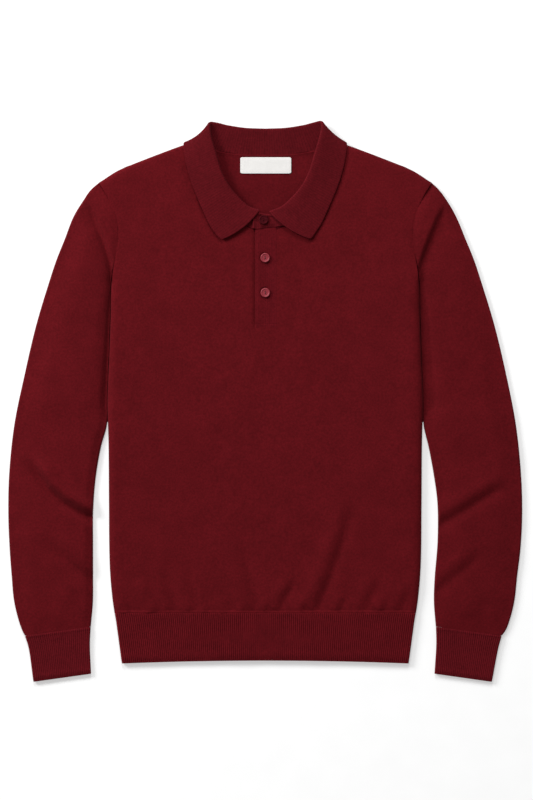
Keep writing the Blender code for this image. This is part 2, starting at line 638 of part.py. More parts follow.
# ---- neck ---------------------------------------------------------------------------------------
def collar_half(side, splits):
    """Middle surface of half the collar, from its front end to the middle of the back.

    Each station is a folded section: straight from the seam to the fold, a half circle of the station's
    roll, and straight to the outer edge, but for the front edge's bow, the sag over the shoulder and the
    quick drop behind the neck. The seam runs straight between its points, as the panels' do.
    """
    table = np.vstack([COLLAR_ENDS[side], COLLAR_STATIONS])
    numbers = np.arange(len(table))
    at = np.linspace(0, len(table) - 1, splits * (len(table) - 1) + 1)
    rows = flow(numbers, table, at)
    seam = np.column_stack([np.interp(at, numbers, table[:, k]) for k in range(3)])
    fold, edge, lean, roll = rows[:, 3:6], rows[:, 6:9], rows[:, 9], rows[:, 10]
    over = ease((at - 5.0) / 2.0) * ease((10.0 - at) / 2.0)
    fold[:, :2] += over[:, None] * np.array(COLLAR_PEAK[side])
    along = np.gradient(seam[:, :2], axis=0)
    across = np.column_stack([-along[:, 1], along[:, 0]])
    across /= np.linalg.norm(across, axis=1, keepdims=True)
    across *= np.sign((across * (fold - seam)[:, :2]).sum(axis=1))[:, None]
    seam = seam + np.column_stack([across * COLLAR_GAP, np.zeros(len(rows))])
    lean = np.radians(lean)[:, None]
    normal = np.hstack([np.cos(lean) * COLLAR_OUTWARD[0], np.cos(lean) * COLLAR_OUTWARD[1], np.sin(lean)])
    out = fold - seam
    out -= normal * (out * normal).sum(axis=1, keepdims=True)
    out /= np.linalg.norm(out, axis=1, keepdims=True)
    stand_top, fall_top = fold - normal * roll[:, None], fold + normal * roll[:, None]
    columns = [seam + (stand_top - seam) * t for t in (0.0, 0.5, 1.0)]
    for angle in np.radians([-45.0, 0.0, 45.0]):
        columns.append(fold + roll[:, None] * (normal * np.sin(angle) + out * np.cos(angle)))
    fall = edge - fall_top
    aside = np.column_stack([fall[:, 1], -fall[:, 0], np.zeros(len(rows))])
    aside /= np.linalg.norm(aside, axis=1, keepdims=True)
    bow = COLLAR_BULGE * (1.0 - ease(at)) + COLLAR_SAG[side] * over
    under = ease((at - 8.5) / 1.5)
    for t in (0.0, 0.34, 0.67, 1.0):
        point = fall_top + fall * t + aside * (bow * 4.0 * t * (1.0 - t))[:, None]
        point[:, 2] += fall[:, 2] * ((1.0 - t) - (1.0 - t) ** 3) * under
        columns.append(point)
    return np.stack(columns, axis=1)


def collar():
    """The whole collar: both halves, met at the middle of the back."""
    left = collar_half("left", COLLAR_SPLITS) * np.array([-1.0, 1.0, 1.0])
    right = collar_half("right", COLLAR_SPLITS)
    grid = np.concatenate([left, right[-2::-1]])
    wall("collar", set_out(grid[::-1], COLLAR_WALL), collar_knit)


def neck_band():
    """The stand's overlapping end under the top button, with a rounded free end."""
    x = np.linspace(BAND_LEFT, BAND_RIGHT, 10)
    short = np.clip(1.0 - (x - BAND_LEFT) / BAND_ROUND, 0.0, 1.0)
    drop = BAND_ROUND * (1.0 - np.sqrt(1.0 - short**2))
    head = BAND_HEAD - drop - BAND_FALL * ease((x - BAND_LEFT - BAND_ROUND) / 14.0)
    foot = BAND_FOOT + 0.4 * drop
    y = foot + (head - foot) * np.array([[0.0], [0.5], [1.0]])
    grid = np.dstack([np.broadcast_to(x, y.shape), y, np.full(y.shape, BAND_Z)])
    wall("neck_band", set_out(grid, BAND_WALL), collar_knit)


def placket_strip(name, left, right, tilt_left, tilt_right):
    """A strip of the placket that fills the notch, tilted so that one lies over the other."""
    x, y = np.meshgrid(np.linspace(left, right, 5),
                       np.linspace(NOTCH_FOOT + 0.7, FRONT_NECK[-1, 1] + 0.4, 12))
    share = (x - left) / (right - left)
    z = front_height(x, y) + tilt_left + (tilt_right - tilt_left) * share
    wall(name, set_out(np.dstack([x, y, z]), PLACKET_WALL), rib)


def button_mesh():
    """A turned disc with a rim and two holes, one above the other."""
    top, dish = BUTTON_HEIGHT, BUTTON_HEIGHT - BUTTON_DISH
    outer, inner = BUTTON_RADIUS, BUTTON_RADIUS - BUTTON_RIM
    profile = [(0.0, dish), (inner - 0.4, dish), (inner + 0.4, top), (outer - 0.6, top),
               (outer, top - 0.7), (outer - 1.2, 0.0), (0.0, 0.0)]
    data = bpy.data.meshes.new("button_profile")
    data.from_pydata([(x * MM, 0.0, z * MM) for x, z in profile],
                     [(i, i + 1) for i in range(len(profile) - 1)], [])
    disc = bpy.data.objects.new("button_guide", data)
    guides.objects.link(disc)
    screw = disc.modifiers.new("turn", "SCREW")
    screw.steps = screw.render_steps = 20
    screw.use_merge_vertices = True
    screw.merge_threshold = 1e-5
    cutters = []
    for end in (-1, 1):
        bpy.ops.mesh.primitive_cylinder_add(vertices=8, radius=HOLE_RADIUS * MM, depth=4 * BUTTON_HEIGHT * MM,
                                            location=(0.0, end * HOLE_REACH * MM, 0.0))
        cutter = bpy.context.object
        for holder in cutter.users_collection:
            holder.objects.unlink(cutter)
        guides.objects.link(cutter)
        cut = disc.modifiers.new("hole", "BOOLEAN")
        cut.object = cutter
        cutters.append(cutter)
    for guide in [disc] + cutters:
        guide.hide_render = True
        guide.display_type = "WIRE"
    shown = disc.evaluated_get(bpy.context.evaluated_depsgraph_get())
    return bpy.data.meshes.new_from_object(shown)


def buttons():
    """Three buttons, each tilted as the strip under it."""
    shared = button_mesh()
    shared.materials.append(button_look)
    shared.shade_smooth()
    shared.set_sharp_from_angle(angle=math.radians(35))
    slope = math.atan2(-PLACKET_TILT, NOTCH_RIGHT - SEAM - PLACKET_LEFT)
    for name, (x, y) in BUTTONS.items():
        made = bpy.data.objects.new(name, shared)
        garment.objects.link(made)
        if name == "button_top":
            made.location = (x * MM, y * MM, (BAND_Z + BAND_WALL / 2 + SEAM) * MM)
            continue
        share = (x - PLACKET_LEFT) / (NOTCH_RIGHT - SEAM - PLACKET_LEFT)
        strip = float(front_height(np.array(x), np.array(y))) + PLACKET_TILT * (1.0 - share)
        made.location = (x * MM, y * MM, (strip + PLACKET_WALL / 2 + SEAM + 0.05) * MM)
        made.rotation_euler = (0.0, -slope, 0.0)


def neck_label():
    """Bare label inside the back of the neck."""
    bpy.ops.mesh.primitive_cube_add(size=1.0)
    made = bpy.context.object
    made.name = "neck_label"
    width, depth = LABEL_SIZE
    base = BACK_Z + NECK_LIFT + HALF + SEAM + LABEL_WALL / 2
    for vertex in made.data.vertices:
        vertex.co.x = (LABEL_CENTRE[0] + width * vertex.co.x) * MM
        vertex.co.y = (LABEL_CENTRE[1] + depth * vertex.co.y) * MM
        vertex.co.z = (base + LABEL_WALL * vertex.co.z) * MM
    for holder in made.users_collection:
        holder.objects.unlink(made)
    garment.objects.link(made)
    made.data.materials.append(label_look)


# ---- build --------------------------------------------------------------------------------------
for old in list(bpy.data.objects):
    bpy.data.objects.remove(old)
garment = bpy.data.collections.new("polo_sweater")
guides = bpy.data.collections.new("guides")
bpy.context.scene.collection.children.link(garment)
bpy.context.scene.collection.children.link(guides)

knit = material("knit", MAROON, 0.9)
rib = material("rib", MAROON_RIB, 0.9)
collar_knit = material("collar_knit", MAROON, 0.88)
button_look = material("button", BUTTON_RED, 0.3)
label_look = material("label", LABEL_WHITE, 0.7)

back_panel()
front_panel()
sleeve("right", "sleeve_left")
sleeve("left", "sleeve_right")
hem_back()
hem_front()
cuff("right", "cuff_left")
cuff("left", "cuff_right")
placket_strip("placket_under", NOTCH_LEFT + SEAM, NOTCH_RIGHT - 1.8, 0.0, -PLACKET_TILT)
placket_strip("placket_top", PLACKET_LEFT, NOTCH_RIGHT - SEAM, PLACKET_TILT, 0.0)
collar()
neck_band()
neck_label()
buttons()
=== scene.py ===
"""Looks of a knitted polo sweater laid flat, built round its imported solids.

Lengths in the tables are millimetres, in the frame of the solids: X to the viewer's right (the wearer's
left), Y from the hem to the collar, Z up from the surface. Every cloth piece is worked out as a middle
surface on a grid, and cloth() sets a wall out from it.
"""
import math

import bmesh
import bpy
import numpy as np
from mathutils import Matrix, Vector


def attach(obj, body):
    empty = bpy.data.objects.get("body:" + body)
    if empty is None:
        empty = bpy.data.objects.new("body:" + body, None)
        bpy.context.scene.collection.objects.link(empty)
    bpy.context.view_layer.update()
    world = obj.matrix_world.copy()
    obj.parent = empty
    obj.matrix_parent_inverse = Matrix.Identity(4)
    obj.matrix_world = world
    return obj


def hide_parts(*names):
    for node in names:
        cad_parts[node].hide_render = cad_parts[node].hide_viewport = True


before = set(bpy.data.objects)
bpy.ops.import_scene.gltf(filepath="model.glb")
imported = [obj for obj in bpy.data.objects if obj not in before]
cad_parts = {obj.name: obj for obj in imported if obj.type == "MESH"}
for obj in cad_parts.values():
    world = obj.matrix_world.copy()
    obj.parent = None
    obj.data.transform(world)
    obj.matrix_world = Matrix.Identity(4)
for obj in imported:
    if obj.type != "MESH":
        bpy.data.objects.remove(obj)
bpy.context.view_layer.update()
MM = 0.001

# ---- studio ----
CAMERA = (0.0017, 0.0022, 4.0)          # metres
SENSOR, LENS = 36.0, 131.4              # millimetres
SKY = 0.31                              # strength of the even white sky
LAMPS = {  # turn and height in degrees, light on the floor as a share of a white sky's, size in metres
    "left": (147.0, 27.0, 0.46, 1.6),
    "head": (95.0, 35.0, 0.36, 1.6),
}
LAMP_AWAY = 4.0                         # metres
FLOOR_HALF, FLOOR_GLOW = 3.0, 0.42      # metres; strength of the floor's own light
SHADE_ABOVE = 0.00002                   # metres

# ---- sizes shared with the solids, millimetres ----
WALL = 1.5
RIB_WALL = 1.7
RIB_RISE = 0.8
RIB_PITCH = 2.82
COLLAR_WALL = 1.7
PLACKET_WALL = 1.4
LABEL_WALL = 0.9
SEAM = 0.3
HALF = WALL / 2
SEAM_Z = 3.25
FRONT_Z = 5.75
BACK_Z = HALF
EDGE_ROUND = 2.9
NECK_LIFT = 2.1
FRONT_LIFT, FRONT_LIFT_ROUND = 1.0, 14.0
# A zone round the neck: y that it starts from, over what length, half width, and over what length it ends.
BACK_LIFT_ZONE = (268.0, 38.0, 150.0, 34.0)
FRONT_LIFT_ZONE = (190.0, 60.0, 165.0, 60.0)
PUFFLESS_ZONE = (130.0, 70.0, 175.0, 55.0)
HEM_SEAM_Y, HEM_SEAM_HALF = -289.0, 205.6
SIDE_PULL = 4
UNDERARM_ROOM = 1.8

SIDE = np.array([  # y, half width
    (-289, 205.6), (-272.6, 208), (-245, 210.8), (-217.8, 212.3), (-135.6, 213.2),
    (-53.4, 213.8), (0, 215.2), (56.2, 213), (111, 211), (164.4, 209.6),
])
ARMHOLE = np.array([  # half width, y
    (209.6, 164.4), (207.6, 183.6), (204.6, 200), (202.1, 217.8), (202.1, 234.3),
    (204.6, 253.5), (211, 269.9), (219.2, 286.3), (227.4, 299),
])
SHOULDER = np.array([  # half width, y
    (227.4, 299), (198, 317.2), (177.4, 325.6), (156.9, 333.6), (134, 342.3), (111, 350.7),
    (92.5, 356.9),
])
FRONT_NECK = np.array([  # half width, y
    (92.5, 356.9), (92.3, 353.4), (91.6, 343.9), (88.6, 326.1), (79.7, 302.4), (66.4, 275.4), (50, 256.2),
    (32.2, 243.8), (15.4, 235.4), (0, 234.3),
])
BACK_NECK = np.array([  # half width, y
    (92.5, 356.9), (89.2, 354.6), (81.5, 349.4), (65.1, 343.2), (33.6, 338.4), (0, 337.7),
])
NOTCH_LEFT, NOTCH_RIGHT, NOTCH_FOOT = -11.4, 15.3, 101.4
PLACKET_TILT = 2
PLACKET_LEFT, PLACKET_RIGHT = -13.4, 15.4
UNDER_LEFT, UNDER_RIGHT = -11.1, 13.5
SLEEVE_OUTER = np.array([  # y, half width on the left, half width on the right
    (299, 228.2, 228.2), (289, 239.4, 238.4), (275.4, 248.8, 248.4), (254.8, 261.4, 260.3),
    (220.6, 274.8, 274.6), (193.2, 285.6, 285.6), (165.8, 294.6, 294.6), (104.1, 313, 313.2),
    (35.6, 329, 329.4), (-32.9, 343, 342.6), (-101.4, 350, 349.6), (-156.2, 351, 351), (-204.2, 349, 348.4),
    (-238.4, 346.4, 344.2), (-272.6, 343.2, 340.4), (-300, 336.6, 333.6), (-313, 332, 328.4),
    (-320, 328.6, 323.5),
])
SLEEVE_INNER = {
    "right": np.array([  # y, half width
        (164.4, 210.6), (111, 212.6), (56.2, 214.7), (0, 217), (-31.5, 217.4), (-60.3, 224),
        (-101.4, 231.6), (-137, 236.2), (-190.4, 236.6), (-245, 232.4), (-272.6, 231.6), (-308, 234.2),
    ]),
    "left": np.array([
        (164.4, 210.6), (111, 212.6), (56.2, 214.7), (0, 217), (-31.5, 217.4), (-60.3, 225.2),
        (-101.4, 232.4), (-149.3, 236.2), (-190.4, 236.4), (-245, 236.4), (-272.6, 236.6), (-308, 239.6),
    ]),
}
SLEEVE_ROWS = np.array([  # outer y, inner y, armhole bend, half height, inner edge's half height
    (299, 164.4, 1, 2.5, 2.5), (286, 148, 0.86, 2.45, 2), (268, 130, 0.66, 2.4, 1.5),
    (238, 108, 0.42, 2.3, 1.3), (202, 82, 0.22, 2.25, 1.3), (160, 52, 0.08, 2.2, 1.3),
    (112, 20, 0, 2.2, 1.3), (62, -12, 0, 2.15, 1.45), (14, -46, 0, 2.1, 1.75),
    (-32, -86, 0, 2.1, 2), (-58, -126, 0, 2.1, 2), (-84, -152, 0, 2.1, 2),
    (-124, -174, 0, 2.1, 2), (-164, -200, 0, 2.05, 2), (-206, -228, 0, 2, 1.9),
    (-246, -256, 0, 1.9, 1.8), (-284, -284, 0, 1.75, 1.7), (-300, -295, 0, 1.7, 1.7),
    (-320, -308, 0, 1.65, 1.65),
])
CUFF_EDGES = {  # outer x, inner x, from the seam to the foot
    "right": [(322.8, 234.4), (317.6, 234.8), (309.5, 232.4)],
    "left": [(328, 239.8), (322.4, 240.8), (316.6, 239.2)],
}
CUFF_ROWS = np.array([(-320.4, -308.4), (-340, -334), (-383.3, -372.4)])    # outer y, inner y
CUFF_RIBS = 31
CUFF_HALF = 1.65
HEM_RIBS = 146
HEM_ROWS = np.array([  # y at the sides, y at the middle, half width
    (-289.05, -289.05, 205.2),
    (-305, -304, 202.6),
    (-358.2, -354.2, 195.4),
])
HEM_DROP = 0.6         # how much lower the front rib lies at its foot
COLLAR_STATIONS = np.array([
    # seam               fold                  edge                  lean,  roll
    (32.2, 243.8, 6.85,  22.7, 264.6, 8.8,  67.8, 229.5, 8.9,  90,  1.8),
    (50, 256.2, 6.9,  35.1, 274.9, 9.4,  77.4, 244.5, 8.9,  90,  1.75),
    (66.4, 275.4, 6.9,  49.5, 291, 10.8,  88.4, 268.5, 8.9,  90,  1.75),
    (79.7, 302.4, 6.9,  61.4, 312.4, 12,  99.3, 294.6, 8.9,  90,  1.75),
    (88.6, 326.1, 6.9,  69.2, 337.8, 12.4,  106.9, 319.2, 8.9,  90,  1.75),
    (91.6, 343.9, 6.85,  74.8, 358.6, 12,  110.6, 338.6, 8.8,  80,  1.7),
    (91.6, 354, 6.3,  77, 375.6, 11,  111.8, 352, 7.4,  45,  1.65),
    (90.4, 358.2, 4.9,  75, 380, 8.6,  109.2, 354.5, 4.8,  0,  1.65),
    (86.6, 353.2, 3.6,  69.6, 379.9, 6.6,  105.8, 354.6, 1.5,  -45, 1.65),
    (81.5, 349.4, 3,  62.6, 378.6, 5.2,  96, 345, 0.85,  -88, 1.65),
    (65.1, 343.2, 2.85,  51.4, 375.8, 4.7,  76, 330, 0.85,  -90, 1.65),
    (33.6, 338.4, 2.85,  27.4, 372.2, 4.6,  40, 319, 0.85,  -90, 1.65),
    (0, 337.7, 2.85,  0, 371.1, 4.6,  0, 315, 0.85,  -90, 1.65),
])
COLLAR_ENDS = {
    "left": (16, 235.6, 6.8, 8.9, 259.6, 9, 58.9, 220.6, 8.9, 90, 2),
    "right": (17, 235.9, 6.8, 6.4, 257.8, 9, 62, 221.3, 8.9, 90, 2),
}
COLLAR_BULGE = 4.2     # how far each front edge bows out between the fold and the point
COLLAR_SAG = {"left": 3.6, "right": 2.4}              # how far the fall sags where it crosses the shoulder
COLLAR_PEAK = {"left": (0, 0), "right": (1.4, 1.2)}  # how far the fold's highest place is moved, x and y
COLLAR_GAP, COLLAR_CORNER = 0.15, 4
COLLAR_THIN = (0.95, 0.84, 0.66, 0.42)    # shares of the wall at the last four columns, for a round edge
COLLAR_OUTWARD = (0.603, 0.798)
BAND_LEFT, BAND_RIGHT, BAND_FOOT, BAND_HEAD, BAND_Z = -17.2, 25.5, 236, 258.2, 8.65
BAND_WALL, BAND_ROUND, BAND_FALL, BAND_SLANT = 1.4, 8, 2, 0.13
BAND_SINK, BAND_SINK_AT, BAND_SINK_FADE = 1.3, 5, 6      # its foot sinks over the placket, round this x
BAND_RIM, BAND_RIM_AT, BAND_RIM_HALF = 1.2, 1.7, 1.1     # its raised rim, distance from the edge
RING, RING_AWAY = 0.7, 0.3                               # the cloth's dip round a button
LABEL_SIZE, LABEL_CENTRE, LABEL_CORNER = (69.6, 22.2), (0.7, 323.2), 2.2
BUTTON_RADIUS, BUTTON_HEIGHT, BUTTON_RIM, BUTTON_DISH = 6.4, 2.4, 1.5, 0.55
BUTTON_FOOT_ROUND, BUTTON_RIM_ROUND = (0.9, 1.4), (1, 1)    # how far up and in its lower and upper edge round
HOLE_RADIUS, HOLE_REACH, HOLE_DEPTH, THREAD_RADIUS, THREAD_ARCH = 0.75, 1.65, 1.25, 0.26, 1.05
BUTTONS = {"button_top": (-2.2, 248.6), "button_middle": (-0.2, 196.6), "button_bottom": (0, 148.9)}

# ---- folds ----
# Each is a line of x, y points down the middle of its steep side, then its half width, the height it
# drops by across that line (from the right of the line's run to its left), and how much of the line
# fades in at its start and out at its end.
FRONT_FOLDS = [
    ([(119, -118), (113, -150), (104, -183), (94.5, -213), (84, -242), (73, -268), (66, -287)], 6.5, 2.3, 0.4, 0.03),
    ([(40, -236), (32, -255), (22, -271), (16, -287)], 5, 1.5, 0.4, 0.03),
    ([(157, -232), (150, -249), (140, -269), (133, -286)], 5.5, 1.3, 0.4, 0.1),
    ([(195, -252), (189, -268), (181, -286)], 5, 1.2, 0.4, 0.05),
    ([(112, -262), (104, -276), (98, -288)], 4, 1, 0.4, 0.03),
    ([(-34.9, -168), (-33, -200), (-28, -235), (-22, -262), (-14, -285)], 6.5, 1, 0.45, 0.1),
    ([(-145, -214), (-140, -238), (-132, -264), (-126, -284)], 5.5, 1.3, 0.45, 0.1),
    ([(-168, -235), (-160, -254), (-150, -272), (-145, -287)], 5.5, 1.5, 0.4, 0.1),
    ([(-112, -222), (-107, -245), (-100, -264), (-95, -287)], 5.5, 1.2, 0.45, 0.1),
    ([(-88, -258), (-84, -272), (-78, -288)], 4, 0.8, 0.4, 0.03),
    ([(-58, -262), (-54, -275), (-50, -288)], 4, 0.7, 0.4, 0.03),
    ([(60, -264), (55, -277), (50, -288)], 4, 0.8, 0.4, 0.03),
    ([(170, -262), (165, -275), (160, -288)], 4, 0.8, 0.4, 0.03),
    ([(-196, -262), (-190, -275), (-186, -288)], 4, 0.7, 0.4, 0.03),
    ([(8, -268), (3, -278), (-1, -288)], 3.5, 0.6, 0.4, 0.03),
    ([(-32, -270), (-36, -279), (-38, -288)], 3.5, -0.5, 0.4, 0.03),
]
BROAD_FOLDS = [  # soft swells over the whole front
    ([(-186, 120), (-150, 60), (-128, -40)], 34, 0.7, 0.5, 0.5),
    ([(182, 130), (150, 52), (132, -60)], 34, -0.6, 0.5, 0.5),
    ([(-70, 40), (-62, -40), (-66, -150)], 30, 0.5, 0.5, 0.5),
    ([(62, 80), (74, 0), (66, -110)], 30, 0.5, 0.5, 0.5),
    ([(-205, -60), (-150, -96), (-90, -110)], 26, -0.5, 0.4, 0.5),
    ([(205, -150), (160, -120), (100, -112)], 24, 0.4, 0.4, 0.5),
]
SLEEVE_FOLDS = {
    "left": [
        ([(326, -70), (311, -92), (295, -116), (274, -135), (255.5, -146), (228, -160)], 5.5, 6.2, 0.3, 0),
        ([(300, -176), (279, -205), (262, -222), (248, -232), (230, -245)], 6.5, 2.4, 0.4, 0),
        ([(300, -252), (285, -272), (270, -288)], 10, 1, 0.5, 0.5),
        ([(262, 120), (256, 40), (262, -40)], 26, 0.7, 0.5, 0.5),
    ],
    "right": [
        ([(335, -104), (321.6, -113), (306, -123), (287, -134), (268, -146), (249, -158), (227, -170)],
         6.5, 2.6, 0.3, 0),
        ([(304, -196), (290, -208), (273, -222), (259, -233), (245, -245), (230, -257)], 6.5, 1.6, 0.4, 0),
        ([(314, -248), (299, -272), (290, -289), (281, -305)], 9, 1, 0.5, 0.4),
        ([(268, 120), (262, 40), (268, -40)], 26, 0.7, 0.5, 0.5),
    ],
}
CREST = 1.7
# Where a sleeve dips to the armhole and to the body's side: points of the valley's floor, from the
# sleeve's head down.
VALLEY = np.array([  # half width on the left, half width on the right, y
    (245, 249, 273), (241, 245, 263), (235, 239, 249), (228, 231.5, 232), (220.5, 224, 213), (214.5, 217.5, 194),
    (211, 213, 176), (210, 210, 150), (210.5, 210.5, 111), (212.5, 212.5, 56), (215, 215, 0), (216, 216, -31),
])
VALLEY_DEPTH, VALLEY_BODY_SIDE = {"left": 5.8, "right": 6.5}, 4.2
VALLEY_FADES = (0.1, 0.12)                  # shares of its line over which it fades in and out
VALLEY_RISE = {"left": 2.6, "right": 0}    # how much higher the sleeve swells beyond it
# Its side towards the sleeve: how much of the depth comes back steeply and over what length, then how much
# slowly and over what length; the rest stays.
VALLEY_SLEEVE_SIDE = {"left": (0.75, 7, 0.25, 22), "right": (0, 1, 0.8, 21)}
SLEEVE_PUFF, SLEEVE_PUFF_OUTER, SLEEVE_PUFF_INNER = 2.6, 0.3, {"left": 0.11, "right": 0.3}
ARMHOLE_STEP, ARMHOLE_STEP_HALF = 1.5, 7     # how much lower a sleeve starts than the front
ARMHOLE_DIP, ARMHOLE_DIP_HALF = 0.25, 1.5      # the linked seam's own dip
ARMHOLE_GAP = 0.1
SLEEVE_FLOOR, FRONT_FLOOR = 2.4, 2.6           # no middle height of an upper wall goes below this
SIDE_PUFF, SIDE_PUFF_ROUND, SIDE_PUFF_REACH = 3.3, 3.2, 70
LINKS = [(1.2, 0.9, 0.5), (3.2, 1.4, -0.25)]    # over the hem: distance from the seam, half width, height
FOLDS_FROM, FOLDS_OVER = 1, 9     # distances from the side seams and shoulders, where folds start
PLACKET_DIP, PLACKET_DIP_HALF = 2.1, 2.4    # the front's dip along the strip's free edge
LEAF_GROOVE = {"left": 1.7, "right": 0.7}    # the front's dip along the edges of the collar's fall
LEAF_GROOVE_HALF = 3
LEAF_PUFF, LEAF_END_LIFT = 0.9, {"left": 0.9, "right": 1.8}
NECK_RIDGE, NECK_RIDGE_AT, NECK_RIDGE_HALF = 0.6, 1.4, 1.5
WAVER = {  # faint unevenness: height, size, seed
    "front": (0.22, 90, 3), "sleeve": (0.2, 70, 5), "hem": (0.25, 60, 8), "placket": (0.12, 24, 21),
    "label": (0.05, 30, 12),
}
# Painted shade on the floor: dark red sheets without the floor's glow, where the garment's own shade falls.
# Rectangles from x, y to x, y.
PAINTED_FLOOR_SHADE = [
    (-219, -28, 219, -12), (-231, -12, 231, 285), (-198, -345, 198, -12),
    (-318, -330, -246, -300), (-246, -312, -241.6, -306), (-325.4, -321.5, -318, -317.5),
    (243, -330, 314, -300), (-327.5, -322, -318, -318.5), (314, -322, 322.5, -318.5),
    (-100, 285, 100, 352),
]
# Steps of a grid towards an edge, distances from it, so that the edge comes out round.
HEM_STEPS = np.array([0.5, 1.2, 2.2, 3.5])
SEAM_STEPS = np.array([2.9, 2.2, 1.5, 0.95, 0.5, 0.2, 0])
TUBE_STEPS = np.array([0.12, 0.45, 0.95, 1.6, 2.4, 3.4])
BAND_STEPS = np.array([0, 0.08, 0.3, 0.7, 1.3, 2.1, 3.1, 4.3, 5.7, 7.2])
STRIP_STEPS = np.array([0, 0.25, 0.7, 1.3, 2])
BUTTON_STEPS = np.array([0.55, 0.32, 0.16, 0.05, 0])
ROW_RUN = 595         # length of a panel's side and armhole
SLEEVE_WIDTH = 110    # usual width of a sleeve
LEVEL_WITHIN = 0.12     # a wall stands level this close to the side seam
FLIP = np.array([-1, 1, 1])


# ---- finishes ----
class Finish:
    """A material whose nodes are built up by short calls; every socket it returns can be fed on."""

    def __init__(self, name, roughness, shine=None):
        self.made = bpy.data.materials.new(name)
        self.made.use_nodes = True
        self.tree = self.made.node_tree
        self.shader = self.tree.nodes["Principled BSDF"]
        self.plain("Roughness", roughness)
        if shine is not None:
            self.plain("Specular IOR Level", shine)

    def plain(self, socket, value):
        self.shader.inputs[socket].default_value = value

    def node(self, kind, inputs=(), **settings):
        made = self.tree.nodes.new(kind)
        for key, value in settings.items():
            setattr(made, key, value)
        for key, value in dict(inputs).items():
            if isinstance(value, bpy.types.NodeSocket):
                self.tree.links.new(value, made.inputs[key])
            else:
                made.inputs[key].default_value = value
        return made

    def math(self, operation, a, b=0.0, c=0.0):
        return self.node("ShaderNodeMath", {0: a, 1: b, 2: c}, operation=operation).outputs[0]

    def times(self, first, *others):
        for other in others:
            first = self.math("MULTIPLY", first, other)
        return first

    def axes(self):
        """The cloth's own measure, in millimetres: across and along."""
        split = self.node("ShaderNodeSeparateXYZ", {0: self.node("ShaderNodeUVMap", uv_map="knit").outputs[0]})
        return [self.times(split.outputs[k], 1 / MM) for k in (0, 1)]

    def noise(self, size, detail=2.0, stretch=(1.0, 1.0, 1.0)):
        """Noise on object coordinates, size in millimetres."""
        place = self.node("ShaderNodeTexCoord").outputs["Object"]
        place = self.node("ShaderNodeMapping", {0: place, "Scale": stretch}).outputs[0]
        return self.node("ShaderNodeTexNoise", {"Vector": place, "Scale": 1 / MM / size, "Detail": detail}).outputs[0]

    def span(self, value, low, high, to_low, to_high):
        return self.node("ShaderNodeMapRange", {0: value, 1: low, 2: high, 3: to_low, 4: to_high}).outputs[0]

    def blend(self, share, one, two):
        return self.node("ShaderNodeMix", {0: share, 6: one, 7: two}, data_type="RGBA").outputs[2]

    def colour(self, value):
        self.tree.links.new(value, self.shader.inputs["Base Color"])

    def bump(self, height, distance, strength=1.0):
        made = self.node("ShaderNodeBump", {"Height": height, "Distance": distance * MM, "Strength": strength})
        self.tree.links.new(made.outputs[0], self.shader.inputs["Normal"])


def stitches(look, across, along, wale, course, slant):
    """Height of knit stitches, 0 to 1: round columns one wale wide, crossed by slanting legs.

    column = sqrt(1 - a^2), a the distance from the column's middle; leg = 0.5 + 0.5 cos of the turn made
    by along / course + slant * a.
    """
    a = look.math("ABSOLUTE", look.math("SUBTRACT", look.math("FRACT", look.math("DIVIDE", across, wale)), 0.5))
    a = look.times(a, 2.0)
    column = look.math("SQRT", look.math("SUBTRACT", 1.0, look.times(a, a)))
    turn = look.math("ADD", look.math("DIVIDE", along, course), look.times(a, slant))
    leg = look.math("ADD", look.times(look.math("COSINE", look.times(turn, math.tau)), 0.5), 0.5)
    return look.math("ADD", look.times(column, 0.6), look.times(leg, 0.4))


def yarn_colour(look, base, height, shade, across, rib):
    """Yarn colour: base, mottled in soft patches, with painted shade where the stitches are low and between ribs, and
    a faint painted light on the stitch tops.

    rib is the ribs' pitch in millimetres and how much painted shade darkens the yarn between them.
    """
    patches = look.span(look.noise(22.0, 3.0), 0.35, 0.65, 0.94, 1.06)
    flecks = look.span(look.noise(2.6, 3.0), 0.3, 0.7, 0.82, 1.18)
    # painted shade in the stitches' hollows, with a faint painted light on their tops
    depth = look.span(height, 0.0, 1.0, 1.0 - shade, 1.0 + 0.25 * shade)
    factor = look.times(patches, flecks, depth)
    if rib:
        # painted shade between the ribs; the whole is lifted a little to keep the mean
        wave = look.math("ABSOLUTE", look.math("COSINE", look.times(across, math.pi / rib[0])))
        dark = look.times(look.math("POWER", wave, 3.0), -rib[1])
        factor = look.times(factor, look.math("ADD", dark, 1.0 + 0.42 * rib[1]))
    look.colour(look.node("ShaderNodeVectorMath", {0: base, "Scale": factor}, operation="SCALE").outputs[0])


def knit_look(name, base, wale, course, shade=0.35, rib=None):
    """A knitted finish with its stitches on the cloth's own measure."""
    look = Finish(name, 0.86, 0.03)
    across, along = look.axes()
    height = stitches(look, across, along, wale, course, STITCH_SLANT)
    fuzz = look.noise(0.55, 3.0)
    yarn_colour(look, base, height, shade, across, rib)
    look.bump(look.math("ADD", height, look.times(fuzz, FUZZ)), STITCH_RELIEF, 0.8)
    for socket, value in zip(("Weight", "Roughness", "Tint"), SHEEN):
        look.plain("Sheen " + socket, value)
    return look.made


STITCH_SLANT, STITCH_RELIEF, FUZZ = 0.5, 0.28, 0.35
SHEEN = 0.06, 0.5, (1.0, 0.25, 0.28, 1.0)
KNIT = knit_look("fine_jersey", (0.104, 0.0048, 0.0076), 1.45, 1.1)
